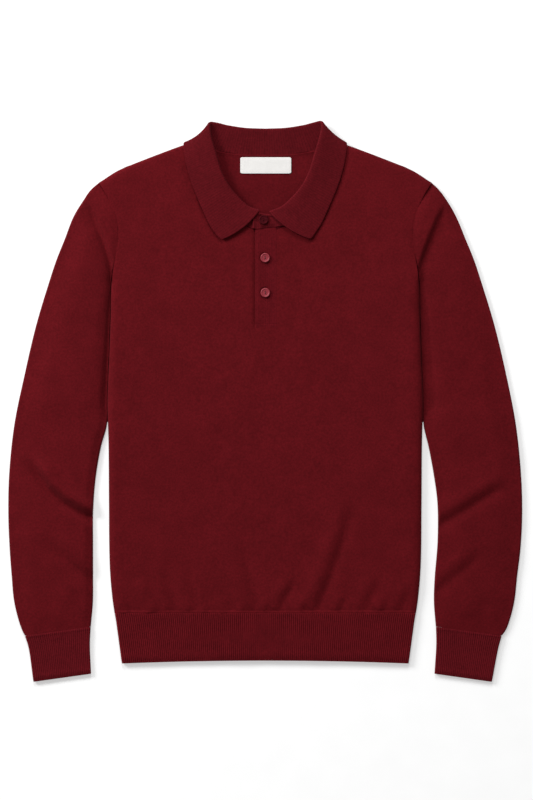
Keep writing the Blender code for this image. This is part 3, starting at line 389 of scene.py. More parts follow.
# The same jersey as KNIT made darker: painted shade for the back's inside, seen through the neck opening.
KNIT_BACK_PAINTED_SHADE = knit_look("back_jersey_painted_shade", (0.096, 0.0044, 0.0072), 1.45, 1.1)
RIB = knit_look("hem_rib", (0.105, 0.0049, 0.0080), 1.41, 1.15, shade=0.3, rib=(RIB_PITCH, 0.45))
CUFF_RIB = knit_look("cuff_rib", (0.104, 0.0053, 0.0087), 1.41, 1.15, shade=0.3, rib=(RIB_PITCH, 0.14))
COLLAR = knit_look("collar_rib", (0.091, 0.0047, 0.0077), 1.5, 1.15, shade=0.4, rib=(3.0, 0.22))
PLACKET = knit_look("placket_rib", (0.100, 0.0046, 0.0078), 1.5, 1.1, shade=0.4, rib=(3.0, 0.12))


def thread_look():
    """Twisted sewing thread, lighter than the cloth."""
    look = Finish("button_thread", 0.6)
    place = look.node("ShaderNodeTexCoord").outputs["Object"]
    twist = look.node("ShaderNodeTexWave", {"Vector": place, "Scale": 900.0}, bands_direction="DIAGONAL").outputs[1]
    look.colour(look.blend(twist, (0.075, 0.006, 0.009, 1.0), (0.14, 0.016, 0.022, 1.0)))
    look.bump(twist, 0.1)
    return look.made


def button_look(name, dark, light, shine=0.3):
    """Cast resin: a dull pinkish red with faint streaks."""
    look = Finish(name, 0.42, shine)
    streak = look.noise(3.2, 4.0, (1.0, 2.6, 1.0))
    look.colour(look.blend(look.span(streak, 0.35, 0.68, 0.0, 1.0), (*dark, 1.0), (*light, 1.0)))
    look.bump(look.noise(1.4, 2.0), 0.03)
    return look.made


def label_look():
    """White damask: a fine satin weave with a faint rib along it."""
    look = Finish("woven_label", 0.6, 0.1)
    across, along = look.axes()
    warp = look.math("SINE", look.times(across, math.tau / 0.5))
    weft = look.math("SINE", look.times(along, math.tau / 0.42))
    weave = look.times(warp, weft)
    tone = look.span(look.math("ADD", weave, look.noise(6.0, 3.0)), -1.0, 2.0, 0.0, 1.0)
    look.colour(look.blend(tone, (0.69, 0.67, 0.65, 1.0), (0.78, 0.77, 0.75, 1.0)))
    look.bump(weave, 0.06, 0.6)
    return look.made


THREAD, LABEL = thread_look(), label_look()
BUTTON = button_look("button_resin", (0.20, 0.018, 0.027), (0.30, 0.036, 0.050))
# The same resin made much darker: painted shade for the top button and its thread, which lie in the collar's shade.
BUTTON_PAINTED_SHADE = button_look("button_resin_painted_shade", (0.036, 0.0035, 0.005), (0.062, 0.006, 0.009), 0.0)


# ---- curves and fields ----
def flow(stations, values, at):
    """Cubic curve through rows of values: at each station the slope is the mean of its neighbours'."""
    stations = np.asarray(stations, float)
    values = np.asarray(values, float).reshape(len(stations), -1)
    steps = np.diff(stations)[:, None]
    slopes = np.diff(values, axis=0) / steps
    tangents = np.vstack([slopes[:1], 0.5 * (slopes[1:] + slopes[:-1]), slopes[-1:]])
    at = np.asarray(at, float)
    k = np.clip(np.searchsorted(stations, at.ravel(), side="right") - 1, 0, len(steps) - 1)
    width = steps[k]
    t = np.clip((at.ravel()[:, None] - stations[k][:, None]) / width, 0.0, 1.0)
    a, b, ta, tb = values[k], values[k + 1], tangents[k] * width, tangents[k + 1] * width
    out = ((2 * t**3 - 3 * t**2 + 1) * a + (t**3 - 2 * t**2 + t) * ta
           + (3 * t**2 - 2 * t**3) * b + (t**3 - t**2) * tb)
    return out.reshape(at.shape + (values.shape[1],))


def size_of(v):
    """Lengths of vectors."""
    return np.linalg.norm(v, axis=-1)


def unit(v):
    """Vectors brought to length 1."""
    return v / size_of(v)[..., None]


def run_along(points):
    """Length along a run of points, at each of them."""
    return np.concatenate([[0.0], np.cumsum(size_of(np.diff(points, axis=0)))])


def length_across(grid):
    """Length along every row of a grid of points, at each of them."""
    steps = np.cumsum(size_of(np.diff(grid, axis=1)), axis=1)
    return np.concatenate([np.zeros((len(grid), 1)), steps], axis=1)


def arc_stations(points):
    """Share of the length along a run of points, from 0 to 1."""
    run = run_along(points)
    return run / run[-1]


def quarter(s):
    """Quarter circle: 0 at 0 with an upright start, 1 from 1 on."""
    return np.sqrt(np.clip(1 - (1 - np.clip(s, 0.0, 1.0)) ** 2, 0.0, 1.0))


def ease(s):
    """Soft step from 0 to 1: 3s^2 - 2s^3."""
    s = np.clip(s, 0.0, 1.0)
    return s * s * (3.0 - 2.0 * s)


def bell(s):
    """Bell curve: e to the minus s squared."""
    return np.exp(-np.square(s))


def nearest(x, y, line):
    """Distance of every point to a run of points, signed above 0 on its left, and the share along it."""
    line = np.asarray(line, float)
    shares = arc_stations(line)
    best = np.full(x.shape, 1e9)
    signed, along = np.zeros(x.shape), np.zeros(x.shape)
    for (x0, y0), (x1, y1), s0, s1 in zip(line[:-1], line[1:], shares[:-1], shares[1:]):
        dx, dy = x1 - x0, y1 - y0
        t = np.clip(((x - x0) * dx + (y - y0) * dy) / (dx * dx + dy * dy), 0.0, 1.0)
        away = np.hypot(x - x0 - t * dx, y - y0 - t * dy)
        side = np.sign(dx * (y - y0) - dy * (x - x0))
        near = away < best
        best = np.where(near, away, best)
        signed = np.where(near, away * np.where(side == 0, 1.0, side), signed)
        along = np.where(near, s0 + (s1 - s0) * t, along)
    return signed, along


def relief(x, y, folds):
    """Height of a set of folds: -t e^(-t^2 / 2) across each line, t the distance over the half width.

    The crest's back is CREST times as long as the trough's.
    """
    z = np.zeros(x.shape)
    for line, width, drop, fade_in, fade_out in folds:
        away, along = nearest(x, y, line)
        strength = drop * ease(along / max(fade_in, 1e-3)) * ease((1 - along) / max(fade_out, 1e-3))
        t = away / width
        z -= strength * t * np.exp(-0.5 * np.square(t / np.where(t < 0, CREST, 1.0)))
    return z


def not_below(z, floor):
    """Keeps a height above a floor, with a soft knee a few tenths wide."""
    return 0.5 * (z + floor + np.sqrt(np.square(z - floor) + 0.16))


def waver(x, y, kind):
    """Faint unevenness, within about its height: a sum of plane waves whose lengths lie round its size."""
    height, size, seed = WAVER[kind]
    rng = np.random.default_rng(seed)
    z = np.zeros(x.shape)
    for _ in range(14):
        turn, length, phase = rng.uniform(0, math.tau), size * rng.uniform(0.6, 1.7), rng.uniform(0, math.tau)
        z += np.cos(math.tau * (x * math.cos(turn) + y * math.sin(turn)) / length + phase)
    return height * (z / 5.0)


# ---- cloth walls ----
def set_out(middle, thickness, closed=False, rise=None, level=None, thin=None):
    """Outer and inner face of a wall: the middle grid moved half a thickness along its normals.

    rise is added to the outer face. level marks points whose normal is made level. thin scales the
    thickness, as at a soft edge.
    """
    du = np.roll(middle, -1, 1) - np.roll(middle, 1, 1) if closed else np.gradient(middle, axis=1)
    normal = np.cross(du, np.gradient(middle, axis=0))
    if level is not None:
        normal[level, 2] = 0.0
    normal = unit(normal)
    half = np.full(middle.shape[:2], thickness / 2) if thin is None else thickness / 2 * thin
    return middle + normal * (half + (0.0 if rise is None else rise))[..., None], middle - normal * half[..., None]


def cloth(name, node, look, faces, uv, closed=False, skip=None):
    """A closed wall from the grids of its outer and inner face, joined round every free edge.

    uv is the cloth's own measure in metres at every grid point (x and y where it lies flat), with one
    column more where closed joins the last column to the first. skip marks quads left out.
    """
    rows, columns = faces[0].shape[:2]
    count = rows * columns
    r, c = np.meshgrid(np.arange(rows - 1), np.arange(columns - 1 + closed), indexing="ij")
    keep = np.ones(r.shape, bool) if skip is None else ~skip
    r, c = r[keep], c[keep]
    corner_r = np.stack([r, r, r + 1, r + 1], axis=1)
    corner_c = np.stack([c, c + 1, c + 1, c], axis=1)
    start = corner_r * columns + corner_c % columns
    end = np.roll(start, -1, axis=1)
    rim = ~np.isin(start * count + end, (end * count + start).ravel())
    next_r, next_c = np.roll(corner_r, -1, axis=1), np.roll(corner_c, -1, axis=1)
    a, b = start[rim], end[rim]
    rims = np.stack([a, a + count, b + count, b], axis=1)
    rim_r = np.stack([corner_r[rim], corner_r[rim], next_r[rim], next_r[rim]], axis=1)
    rim_c = np.stack([corner_c[rim], corner_c[rim], next_c[rim], next_c[rim]], axis=1)
    quads = np.concatenate([start, start[:, ::-1] + count, rims])
    uv_r = np.concatenate([corner_r, corner_r[:, ::-1], rim_r])
    uv_c = np.concatenate([corner_c, corner_c[:, ::-1], rim_c])

    points = np.concatenate([face.reshape(-1, 3) for face in faces]) * MM
    used, quads = np.unique(quads, return_inverse=True)
    mesh = bpy.data.meshes.new(name)
    mesh.from_pydata(points[used], [], quads.reshape(-1, 4).tolist())
    mesh.uv_layers.new(name="knit").data.foreach_set("uv", uv[uv_r, uv_c].astype(np.float32).ravel())
    mesh.shade_smooth()
    mesh.set_sharp_from_angle(angle=math.radians(65))
    return piece(name, node, look, mesh)


def piece(name, node, look, mesh):
    """A finished object of the garment: it rides on the one body and stands for its solid."""
    mesh.materials.clear()
    mesh.materials.append(look)
    made = bpy.data.objects.new(name, mesh)
    bpy.context.scene.collection.objects.link(made)
    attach(made, "root")
    if node:
        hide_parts(node)
    return made


def laid(faces, flat, closed=False, skip=None):
    """Works out the area of a cloth piece's middle surface, held to at most its flat cut in millimetres; nothing uses
    it.
    """
    middle = (faces[0] + faces[1]) / 2
    if closed:
        middle = np.concatenate([middle, middle[:, :1]], axis=1)
    a, b = middle[1:, 1:] - middle[:-1, :-1], middle[1:, :-1] - middle[:-1, 1:]
    quads = size_of(np.cross(a, b)) / 2
    area = float(quads[~skip].sum() if skip is not None else quads.sum()) * MM * MM
    area = min(area, flat[0] * flat[1] * MM * MM)


# ---- body ----
def seam_distance(x, y):
    """Distance to the side seam or the shoulder, the two lines where front and back meet."""
    x = np.abs(x)
    side_y = np.linspace(SIDE[0, 0], SIDE[-1, 0], 40)
    side = np.column_stack([flow(SIDE[:, 0], SIDE[:, 1], side_y)[:, 0], side_y])
    return np.minimum(np.abs(nearest(x, y, side)[0]), np.abs(nearest(x, y, SHOULDER)[0]))


def armhole_distance(x, y):
    """Distance to the armhole's seam."""
    share = np.linspace(0, 1, 50)
    return np.abs(nearest(np.abs(x), y, flow(arc_stations(ARMHOLE), ARMHOLE, share))[0])


def leaf_groove(x, y):
    """The front's dip along the outer edges of the collar's fall."""
    dip = np.zeros(x.shape)
    for side, sign in (("left", -1.0), ("right", 1.0)):
        edge = np.vstack([COLLAR_ENDS[side][6:8], COLLAR_STATIONS[:7, 6:8]]) * [sign, 1.0]
        away = nearest(x, y, flow(arc_stations(edge), edge, np.linspace(0.0, 1.0, 40)))[0]
        dip += LEAF_GROOVE[side] * bell(away / LEAF_GROOVE_HALF)
    return dip


def gathers(x, above):
    """Small uneven tucks over the hem seam: waves across, dying away upwards from the seam."""
    lean = x + 0.12 * np.sign(x) * above
    waves = np.cos(lean / 4.1 + 1.1 * np.sin(lean / 23.0))
    waves = waves + 0.7 * np.cos(lean / 6.7 + 2.0 * np.sin(lean / 31.0) + 1.0)
    size = 0.55 + 0.45 * np.sin(x / 17.0 + 0.7) * np.sin(x / 41.0 + 2.0)
    return 0.30 * waves * size * np.exp(-above / 17.0) * ease(above / 4.0)


def neck_zone(x, y, zone):
    """1 inside a zone round the neck, falling off softly to 0."""
    start, over, half, fade = zone
    return ease((y - start) / over) * ease((half - np.abs(x)) / fade)


def front_height(x, y, detail=True):
    """Middle height of the front: flat, rounded down to the seams, drawn in at the armhole, with folds."""
    away = seam_distance(x, y)
    base = SEAM_Z + SEAM / 2
    z = base + (FRONT_Z - base) * quarter(away / EDGE_ROUND)
    z += FRONT_LIFT * neck_zone(x, y, FRONT_LIFT_ZONE) * quarter(away / FRONT_LIFT_ROUND)
    if detail:
        inside = ease((away - FOLDS_FROM) / FOLDS_OVER)
        neck = neck_zone(x, y, PUFFLESS_ZONE)
        puff = SIDE_PUFF * (1 - 0.4 * ease((y - 150.0) / 60.0)) * ease((y - HEM_SEAM_Y) / 40.0)
        z += puff * (1 - np.exp(-away / SIDE_PUFF_ROUND)) * np.exp(-away / SIDE_PUFF_REACH) * (1 - neck)
        z += inside * (relief(x, y, FRONT_FOLDS) + gathers(x, y - HEM_SEAM_Y) + waver(x, y, "front"))
        z += inside * relief(x, y, BROAD_FOLDS) * (1 - neck)
        z -= ARMHOLE_DIP * bell(armhole_distance(x, y) / ARMHOLE_DIP_HALF) * quarter(away / 3.0)
        seam = y - HEM_SEAM_Y
        for at, half, height in LINKS:
            z += quarter(away / 6.0) * height * bell((seam - at) / half)
        edge = x - PLACKET_LEFT
        dip = PLACKET_DIP * bell(np.minimum(edge, 0.0) / PLACKET_DIP_HALF) * np.where(edge > 6.0, 0.0, 1.0)
        z -= dip * ease((y - NOTCH_FOOT + 3.0) / 8.0)
        z -= leaf_groove(x, y)
        z = np.where(away > EDGE_ROUND, not_below(z, FRONT_FLOOR), z)
    return z


def back_height(x, y):
    """Middle height of the back: flat on the surface, lifted over the collar's fall."""
    lift = NECK_LIFT * neck_zone(x, y, BACK_LIFT_ZONE)
    neck = np.concatenate([BACK_NECK[:-1], BACK_NECK[::-1] * [-1.0, 1.0]])
    lift = lift + NECK_RIDGE * bell((np.abs(nearest(x, y, neck)[0]) - NECK_RIDGE_AT) / NECK_RIDGE_HALF)
    low, top = BACK_Z + lift, SEAM_Z - SEAM / 2
    return top + (low - top) * quarter(seam_distance(x, y) / EDGE_ROUND)


def spread(length, count):
    """Shares from 0 to 1: even ones, then ones that close up on the end, for a round edge."""
    close = SEAM_STEPS / length
    return np.concatenate([np.linspace(0.0, 1 - close[0] - 1.0 / count, count), 1 - close])


def panel(neck, columns_each, row_count, notch=None):
    """Right half of a panel seen from above: a patch between the hem and the line of neck and shoulder.

    Point(u, v) = hem(u) (1 - v) + top(u) v + u^4 bow(v), where bow is how far the side and armhole lie
    from the straight line between their ends.
    """
    neck_in, shoulder_in = neck[::-1], SHOULDER[::-1]
    neck_length, shoulder_length = run_along(neck_in)[-1], run_along(shoulder_in)[-1]
    corner = neck_length / (neck_length + shoulder_length)
    columns = np.concatenate([np.linspace(0.0, corner, columns_each[0] + 1)[:-1],
                              corner + (1 - corner) * spread(shoulder_length, columns_each[1])])
    top = np.where((columns < corner)[:, None],
                   flow(arc_stations(neck_in), neck_in, columns / corner),
                   flow(arc_stations(shoulder_in), shoulder_in, (columns - corner) / (1 - corner)))
    foot_x = HEM_SEAM_HALF * columns
    kept = 0
    if notch is not None:
        kept = int(np.argmin(np.abs(top[:, 0] - notch)))
        top[kept, 0] = notch
        foot_x = foot_x + (notch - foot_x[kept]) * ease(1 - np.abs(columns - columns[kept]) / 0.2)
        foot_x[0] = 0.0
    foot = np.column_stack([foot_x, np.full(len(columns), HEM_SEAM_Y)])
    rows = np.unique(np.concatenate([HEM_STEPS / ROW_RUN, spread(ROW_RUN, row_count)]))
    line = np.vstack([SIDE[:, ::-1], ARMHOLE[1:]])
    u, v = (a[..., None] for a in np.meshgrid(columns, rows))
    bow = flow(arc_stations(line), line, rows)[:, None] - (1 - v) * foot[-1] - v * top[-1]
    grid = (1 - v) * foot[None] + v * top[None] + u**SIDE_PULL * bow
    if notch is not None:
        first = int(np.argmin(np.abs(grid[:, 0, 1] - NOTCH_FOOT)))
        grid[:, :kept + 1, 0] = np.linspace(0, notch, kept + 1)
        grid[first, :kept + 1, 1] = NOTCH_FOOT
        return grid, kept, first
    return grid


def body_piece(name, node, look, left, right, height, skip=None):
    """A panel of the body from its two halves, both given as right ones."""
    flat = np.concatenate([(left * FLIP[:2])[:, ::-1], right[:, 1:]], axis=1)
    x, y = flat[..., 0], flat[..., 1]
    middle = np.dstack([x, y, height(x, y)])
    faces = set_out(middle, WALL, level=seam_distance(x, y) < LEVEL_WITHIN)
    made = cloth(name, node, look, faces, middle[..., :2] * MM, skip=skip)
    laid(faces, (456, 647), skip=skip)


def front_panel():
    """Front of the body, with the placket's notch left out."""
    right, kept_right, first = panel(FRONT_NECK, (60, 26), 170, NOTCH_RIGHT)
    left, kept_left, _ = panel(FRONT_NECK, (60, 26), 170, -NOTCH_LEFT)
    centre = left.shape[1] - 1
    skip = np.zeros((len(left) - 1, centre + right.shape[1] - 1), bool)
    skip[first:, centre - kept_left:centre + kept_right] = True
    body_piece("front_knit", "front_panel", KNIT, left, right, front_height, skip)


def back_panel():
    """Back of the body, lying on the surface."""
    half = panel(BACK_NECK, (34, 24), 90)
    body_piece("back_knit", "back_panel", KNIT_BACK_PAINTED_SHADE, half, half, back_height)


# ---- sleeves and cuffs ----
def tube_shares(width, top_count, foot_count):
    """Places round a sleeve: shares from its outer edge to the inner one, and 1 above, -1 below."""
    near = TUBE_STEPS / width
    top = np.concatenate([[0.0], near, np.linspace(near[-1], 1 - near[-1], top_count)[1:-1],
                          1 - near[::-1], [1.0]])
    foot = np.concatenate([1 - near, np.linspace(1 - near[-1], near[-1], foot_count)[1:-1], near[::-1]])
    return np.concatenate([top, foot]), np.concatenate([np.ones(len(top)), -np.ones(len(foot))])


def sleeve_face(side, stations, shares, sides, out):
    """One face of a sleeve's wall, from the armhole, where its sections follow the seam, to the cuff.

    Each section is a flat loop between the outer and the inner edge: height above and below its middle
    is half (half height) times a quarter circle near the ends. out widens the loop and raises its half.
    """
    numbers = np.arange(len(SLEEVE_ROWS))
    outer_y, inner_y, bend, half, inner_half = flow(numbers, SLEEVE_ROWS, stations).T
    edge = SLEEVE_OUTER[::-1]
    outer = np.column_stack([flow(edge[:, 0], edge[:, 1 + (side == "right")], outer_y)[:, 0], outer_y])
    edge = SLEEVE_INNER[side][::-1]
    inner = np.column_stack([flow(edge[:, 0], edge[:, 1], inner_y)[:, 0], inner_y])
    width = size_of(outer - inner)[:, None]
    s = shares[None, :]
    t = s + (2 * s - 1) * out / width
    flat = outer[:, None] * (1 - t[..., None]) + inner[:, None] * t[..., None]
    head = ARMHOLE[::-1]
    seam = flow(arc_stations(head), head, shares)
    fine = np.linspace(0.0, 1.0, 400)
    slopes = np.gradient(flow(arc_stations(head), head, fine), fine, axis=0)
    tangent = unit(np.column_stack([np.interp(shares, fine, slopes[:, k]) for k in (0, 1)]))
    outward = np.column_stack([-tangent[:, 1], tangent[:, 0]])
    inward = ease((shares - 0.7) / 0.3)
    seam = seam + outward * (ARMHOLE_GAP + UNDERARM_ROOM * inward)[:, None]
    bow = seam - (outer[0] * (1 - shares[:, None]) + inner[0] * shares[:, None])
    flat = flat + bend[:, None, None] * bow[None]
    height = half[:, None] + (inner_half - half)[:, None] * inward
    near = np.minimum(s, 1 - s) * (width + 2 * out)
    z = HALF + height + sides[None, :] * (height + out) * quarter(near / (height + out))
    x, y = flat[..., 0], flat[..., 1]
    top = HALF + 2 * height
    above = relief(x, y, SLEEVE_FOLDS[side]) + waver(x, y, "sleeve")
    puff = ease(s / SLEEVE_PUFF_OUTER) * ease((1 - s) / SLEEVE_PUFF_INNER[side]) * ease((y + 318.0) / 36.0)
    seam_away = armhole_distance(x, y)
    above += SLEEVE_PUFF * puff
    above += valley(x, y, side, s) - ARMHOLE_STEP * bell(seam_away / ARMHOLE_STEP_HALF)
    above = (not_below(top + above, SLEEVE_FLOOR) - top) * ease(near / 2.5)
    above -= ARMHOLE_DIP * bell(seam_away / ARMHOLE_DIP_HALF) * ease(near / 4.0)
    return np.dstack([flat, z + np.where(sides[None, :] > 0, above, 0.0)])


def valley(x, y, side, s):
    """Dip of a sleeve beside the body: a floor line with a steep side to the body and a long soft one."""
    away, along = nearest(x, y, VALLEY[:, [int(side == "right"), 2]])
    steep, short, slow, long = VALLEY_SLEEVE_SIDE[side]
    far = np.maximum(away, 0.0)
    slope = 1 - steep - slow + steep * np.exp(-far / short) + slow * np.exp(-far / long)
    share = np.where(away > 0, slope, np.exp(-np.square(away / VALLEY_BODY_SIDE)))
    rise = VALLEY_RISE[side] * np.where(away > 0, 1 - share, 0.0) * ease(s / 0.4)
    fade = ease(along / VALLEY_FADES[0]) * ease((1 - along) / VALLEY_FADES[1])
    return (rise - VALLEY_DEPTH[side] * share) * fade


def round_uv(faces):
    """The cloth's own measure on a tube: along its rows from the outer edge, and up its length."""
    middle = (faces[0] + faces[1]) / 2
    shut = np.concatenate([middle, middle[:, :1]], axis=1)
    across = length_across(shut)
    return np.dstack([across, np.broadcast_to(-run_along(middle.mean(axis=1))[:, None], across.shape)]) * MM


def mirrored(faces):
    """The same faces turned over to the viewer's left."""
    return [(face * FLIP)[::-1] for face in faces]


def sleeve(side, name, node):
    """One sleeve, a flattened tube from the armhole to the cuff."""
    stations = np.unique(np.concatenate([np.linspace(0.0, 0.3, 7), np.linspace(0.0, 9.0, 100),
                                         np.linspace(9.0, 12.0, 76), np.linspace(12.0, 18.0, 76)]))
    shares, sides = tube_shares(SLEEVE_WIDTH, 70, 20)
    faces = [sleeve_face(side, stations, shares, sides, out) for out in (HALF, -HALF)]
    uv = round_uv(faces)
    if side == "left":
        faces, uv = mirrored(faces), uv[::-1]
    made = cloth(name, node, KNIT, faces, uv, closed=True)
    laid(faces, (300, 690), closed=True)


def rib_rise(count, shares):
    """Ridges across the ribs' run: the square root of a sine's size, count of them over shares 0 to 1."""
    return RIB_RISE * np.sqrt(np.abs(np.sin(math.pi * count * shares)) + 1e-9)


def rib_rows(rows):
    """Row numbers of a ribbed piece, and how far its ribs have risen from the seam and from the free edge."""
    row = np.arange(rows)[:, None]
    return row, ease(row / 1.5), ease((rows - 1 - row) / 1.5)


def edge_line(row):
    """The linked edge near the foot of a ribbed piece, from its row numbers."""
    return 0.7 * bell((row - (len(row) - 3.0)) / 0.8)


def cuff(side, name, node):
    """Ribbed cuff: a flattened tube with raised ribs above, plain where it rests."""
    rows = 30
    corners = np.dstack([CUFF_EDGES[side], CUFF_ROWS]).reshape(3, 4)
    edges = flow(np.arange(3), corners, np.linspace(0.0, 2.0, rows))
    top = np.linspace(0.0, 1.0, 8 * CUFF_RIBS + 1)
    foot = np.linspace(1.0, 0.0, 40)[1:-1]
    shares = np.concatenate([top, foot])
    sides = np.concatenate([np.ones(len(top)), -np.ones(len(foot))])
    outer, inner = edges[:, None, :2], edges[:, None, 2:]
    s = shares[None, :]
    flat = outer * (1 - s[..., None]) + inner * s[..., None]
    width = size_of(edges[:, :2] - edges[:, 2:])[:, None]
    near_edge = np.minimum(s, 1 - s) * width
    bulge = quarter(near_edge / CUFF_HALF)
    z = RIB_WALL / 2 + CUFF_HALF + sides[None, :] * CUFF_HALF * bulge
    row, start, end = rib_rows(rows)
    line = 0.8 * bell((row - 0.9) / 0.8) + edge_line(row) - 0.5 * (1 - end)
    z += np.where(sides[None, :] > 0, line, 0.0) * ease(near_edge / 3.0)
    rise = np.where(sides > 0, rib_rise(CUFF_RIBS, shares), 0.0)[None, :]
    rise = rise * (0.2 + 0.8 * start * end) * (1 - 0.4 * row / rows)
    faces = set_out(np.dstack([flat, z]), RIB_WALL, closed=True, rise=rise)
    along = np.linspace(0.0, -66.0, rows)[:, None] * np.ones((1, len(shares) + 1))
    across = np.concatenate([top * CUFF_RIBS, 2 * CUFF_RIBS - foot * CUFF_RIBS, [2 * CUFF_RIBS]]) * RIB_PITCH
    uv = np.dstack([np.broadcast_to(across, along.shape), along]) * MM
    if side == "left":
        faces, uv = mirrored(faces), uv[::-1]
    made = cloth(name, node, CUFF_RIB, faces, uv, closed=True)
    laid(faces, (188, 68), closed=True)


# ---- hem ribs ----
def hem_flat(shares, rows):
    """Places of the hem rib seen from above, for shares across it from -1 to 1."""
    side_y, middle_y, half = flow(np.arange(3), HEM_ROWS, np.linspace(0.0, 2.0, rows)).T[:, :, None]
    s = shares[None, :]
    return half * s, middle_y + (side_y - middle_y) * s**2, half


def hem_piece(name, node, shares, middle, rise):
    """One layer of the hem rib from its middle surface, which runs down from the seam."""
    level = np.zeros(middle.shape[:2], bool)
    level[:, [0, -1]] = True
    faces = set_out(middle[::-1], RIB_WALL, rise=rise, level=level)
    across = np.broadcast_to((shares + 1) / 2 * HEM_RIBS * RIB_PITCH, level.shape)
    made = cloth(name, node, RIB, faces, np.dstack([across, middle[..., 1]])[::-1] * MM)
    laid(faces, (414, 70))


def hem_front():
    """Front of the hem rib: every rib is raised, and its ends dip to the seams above and below."""
    rows = 28
    shares = np.linspace(-1.0, 1.0, 8 * HEM_RIBS + 1)
    x, y, half = hem_flat(shares, rows)
    near = (1 - np.abs(shares))[None, :] * half
    foot = SEAM_Z + SEAM / 2
    down = np.linspace(0.0, 1.0, rows)[:, None]
    row, start, end = rib_rows(rows)
    top = FRONT_Z - HEM_DROP * down + waver(x, y, "hem") * ease(near / 10.0)
    z = foot + (top - foot) * quarter(near / EDGE_ROUND) - 0.5 * (1 - end) * ease(near / 4.0)
    z += edge_line(row) * ease(near / 4.0)
    rise = rib_rise(HEM_RIBS, (shares + 1) / 2)[None, :] * (0.35 + 0.65 * start * end)
    hem_piece("hem_front_rib", "hem_rib_front", shares, np.dstack([x, y, z]), rise[::-1])


def hem_back():
    """Back of the hem rib, flat on the surface."""
    near_end = 1 - np.array([0.0, 0.15, 0.6, 1.2, 2.0, 2.9]) / 200.0
    shares = np.concatenate([-near_end, np.linspace(-0.97, 0.97, 120), near_end[::-1]])
    x, y, half = hem_flat(shares, 14)
    near = (1 - np.abs(shares))[None, :] * half
    top, low = SEAM_Z - SEAM / 2, RIB_WALL / 2
    z = top + (low - top) * quarter(near / EDGE_ROUND)
    hem_piece("hem_back_rib", "hem_rib_back", shares, np.dstack([x, y, z]), None)


# ---- neck ----
def collar_half(side, splits):
    """Middle surface of half the collar, from its front end to the middle of the back.

    Each station is a folded section: straight from the seam to the fold, a half circle of the station's
    roll, then to the outer edge in a shallow crown. The corner at the front end is rounded off.
    """
    table = np.vstack([COLLAR_ENDS[side], COLLAR_STATIONS])
    numbers = np.arange(len(table))
    at = np.unique(np.concatenate([np.linspace(0, len(table) - 1, splits * (len(table) - 1) + 1),
                                   np.linspace(0.0, 0.25, 14)]))
    rows = flow(numbers, table, at)
    seam = np.column_stack([np.interp(at, numbers, table[:, k]) for k in range(3)])
    fold, edge, lean, roll = rows[:, 3:6], rows[:, 6:9], rows[:, 9], rows[:, 10]
    over = ease((at - 5.0) / 2.0) * ease((10.0 - at) / 2.0)
    fold[:, :2] += over[:, None] * np.array(COLLAR_PEAK[side])
    ahead = 1 - ease((at - 5.5) / 2.5)
    along = np.gradient(seam[:, :2], axis=0)
    across = unit(np.column_stack([-along[:, 1], along[:, 0]]))
    across *= np.sign((across * (fold - seam)[:, :2]).sum(axis=1))[:, None]
    seam = seam + np.column_stack([across * COLLAR_GAP, np.zeros(len(rows))])
    lean = np.radians(lean)[:, None]
    normal = np.hstack([np.cos(lean) * COLLAR_OUTWARD[0], np.cos(lean) * COLLAR_OUTWARD[1], np.sin(lean)])
    out = fold - seam
    out = unit(out - normal * (out * normal).sum(axis=1, keepdims=True))
    stand_top, fall_top = fold - normal * roll[:, None], fold + normal * roll[:, None]
    corner = np.clip(1 - run_along(edge) / COLLAR_CORNER, 0.0, 1.0)
    cut = COLLAR_CORNER * (1 - np.sqrt(1 - corner**2))
    fall = edge - fall_top
    fall *= (1 - cut / size_of(fall))[:, None]
    columns = [seam + (stand_top - seam) * t for t in np.linspace(0.0, 1.0, 12)]
    for angle in np.radians(np.linspace(-90.0, 90.0, 15)[1:-1]):
        columns.append(fold + roll[:, None] * (normal * np.sin(angle) + out * np.cos(angle)))
    aside = unit(np.column_stack([fall[:, 1], -fall[:, 0], np.zeros(len(rows))]))
    bow = COLLAR_BULGE * (1 - ease(at)) + COLLAR_SAG[side] * over
    shares = np.concatenate([np.linspace(0.0, 0.96, 24), [0.975, 0.987, 0.995, 1.0]])
    length = size_of(fall)
    under = ease((at - 8.5) / 1.5)
    for t in shares:
        point = fall_top + fall * t + aside * (bow * 4.0 * t * (1 - t))[:, None]
        point[:, 2] += fall[:, 2] * ((1 - t) - (1 - t) ** 3) * under
        point[:, 2] += LEAF_PUFF * ahead * (1 - np.exp(-length * t / 4.0)) * np.exp(-length * t / 16.0)
        point[:, 2] += LEAF_END_LIFT[side] * (1 - ease(at / 1.4)) * ease(t / 0.3)
        columns.append(point)
    return np.stack(columns, axis=1)


def collar():
    """The whole collar: both halves, met at the middle of the back."""
    left, right = collar_half("left", 16) * FLIP, collar_half("right", 16)
    middle = np.concatenate([left, right[-2::-1]])[::-1]
    along, across = run_along(middle[:, 20]), length_across(middle)
    thin = np.ones(middle.shape[:2])
    thin[:, -4:] = COLLAR_THIN
    ends = np.minimum(along, along[-1] - along)
    thin = thin * (0.45 + 0.55 * quarter(ends / 1.2))[:, None]
    faces = set_out(middle, COLLAR_WALL, thin=thin)
    uv = np.dstack([np.broadcast_to(along[:, None], across.shape), across]) * MM
    made = cloth("collar_knit", "collar", COLLAR, faces, uv)
    laid(faces, (500, 110))


def band_slant(x):
    """How much higher the seam under the neck band lies towards its right end."""
    return BAND_SLANT * np.clip(x + 12.0, 0.0, 40.0)


def button_ring(node, x, y, half_width):
    """The dip of the cloth round a button."""
    away = np.hypot(x - BUTTONS[node][0], y - BUTTONS[node][1])
    return RING * bell((away - BUTTON_RADIUS - RING_AWAY) / half_width)


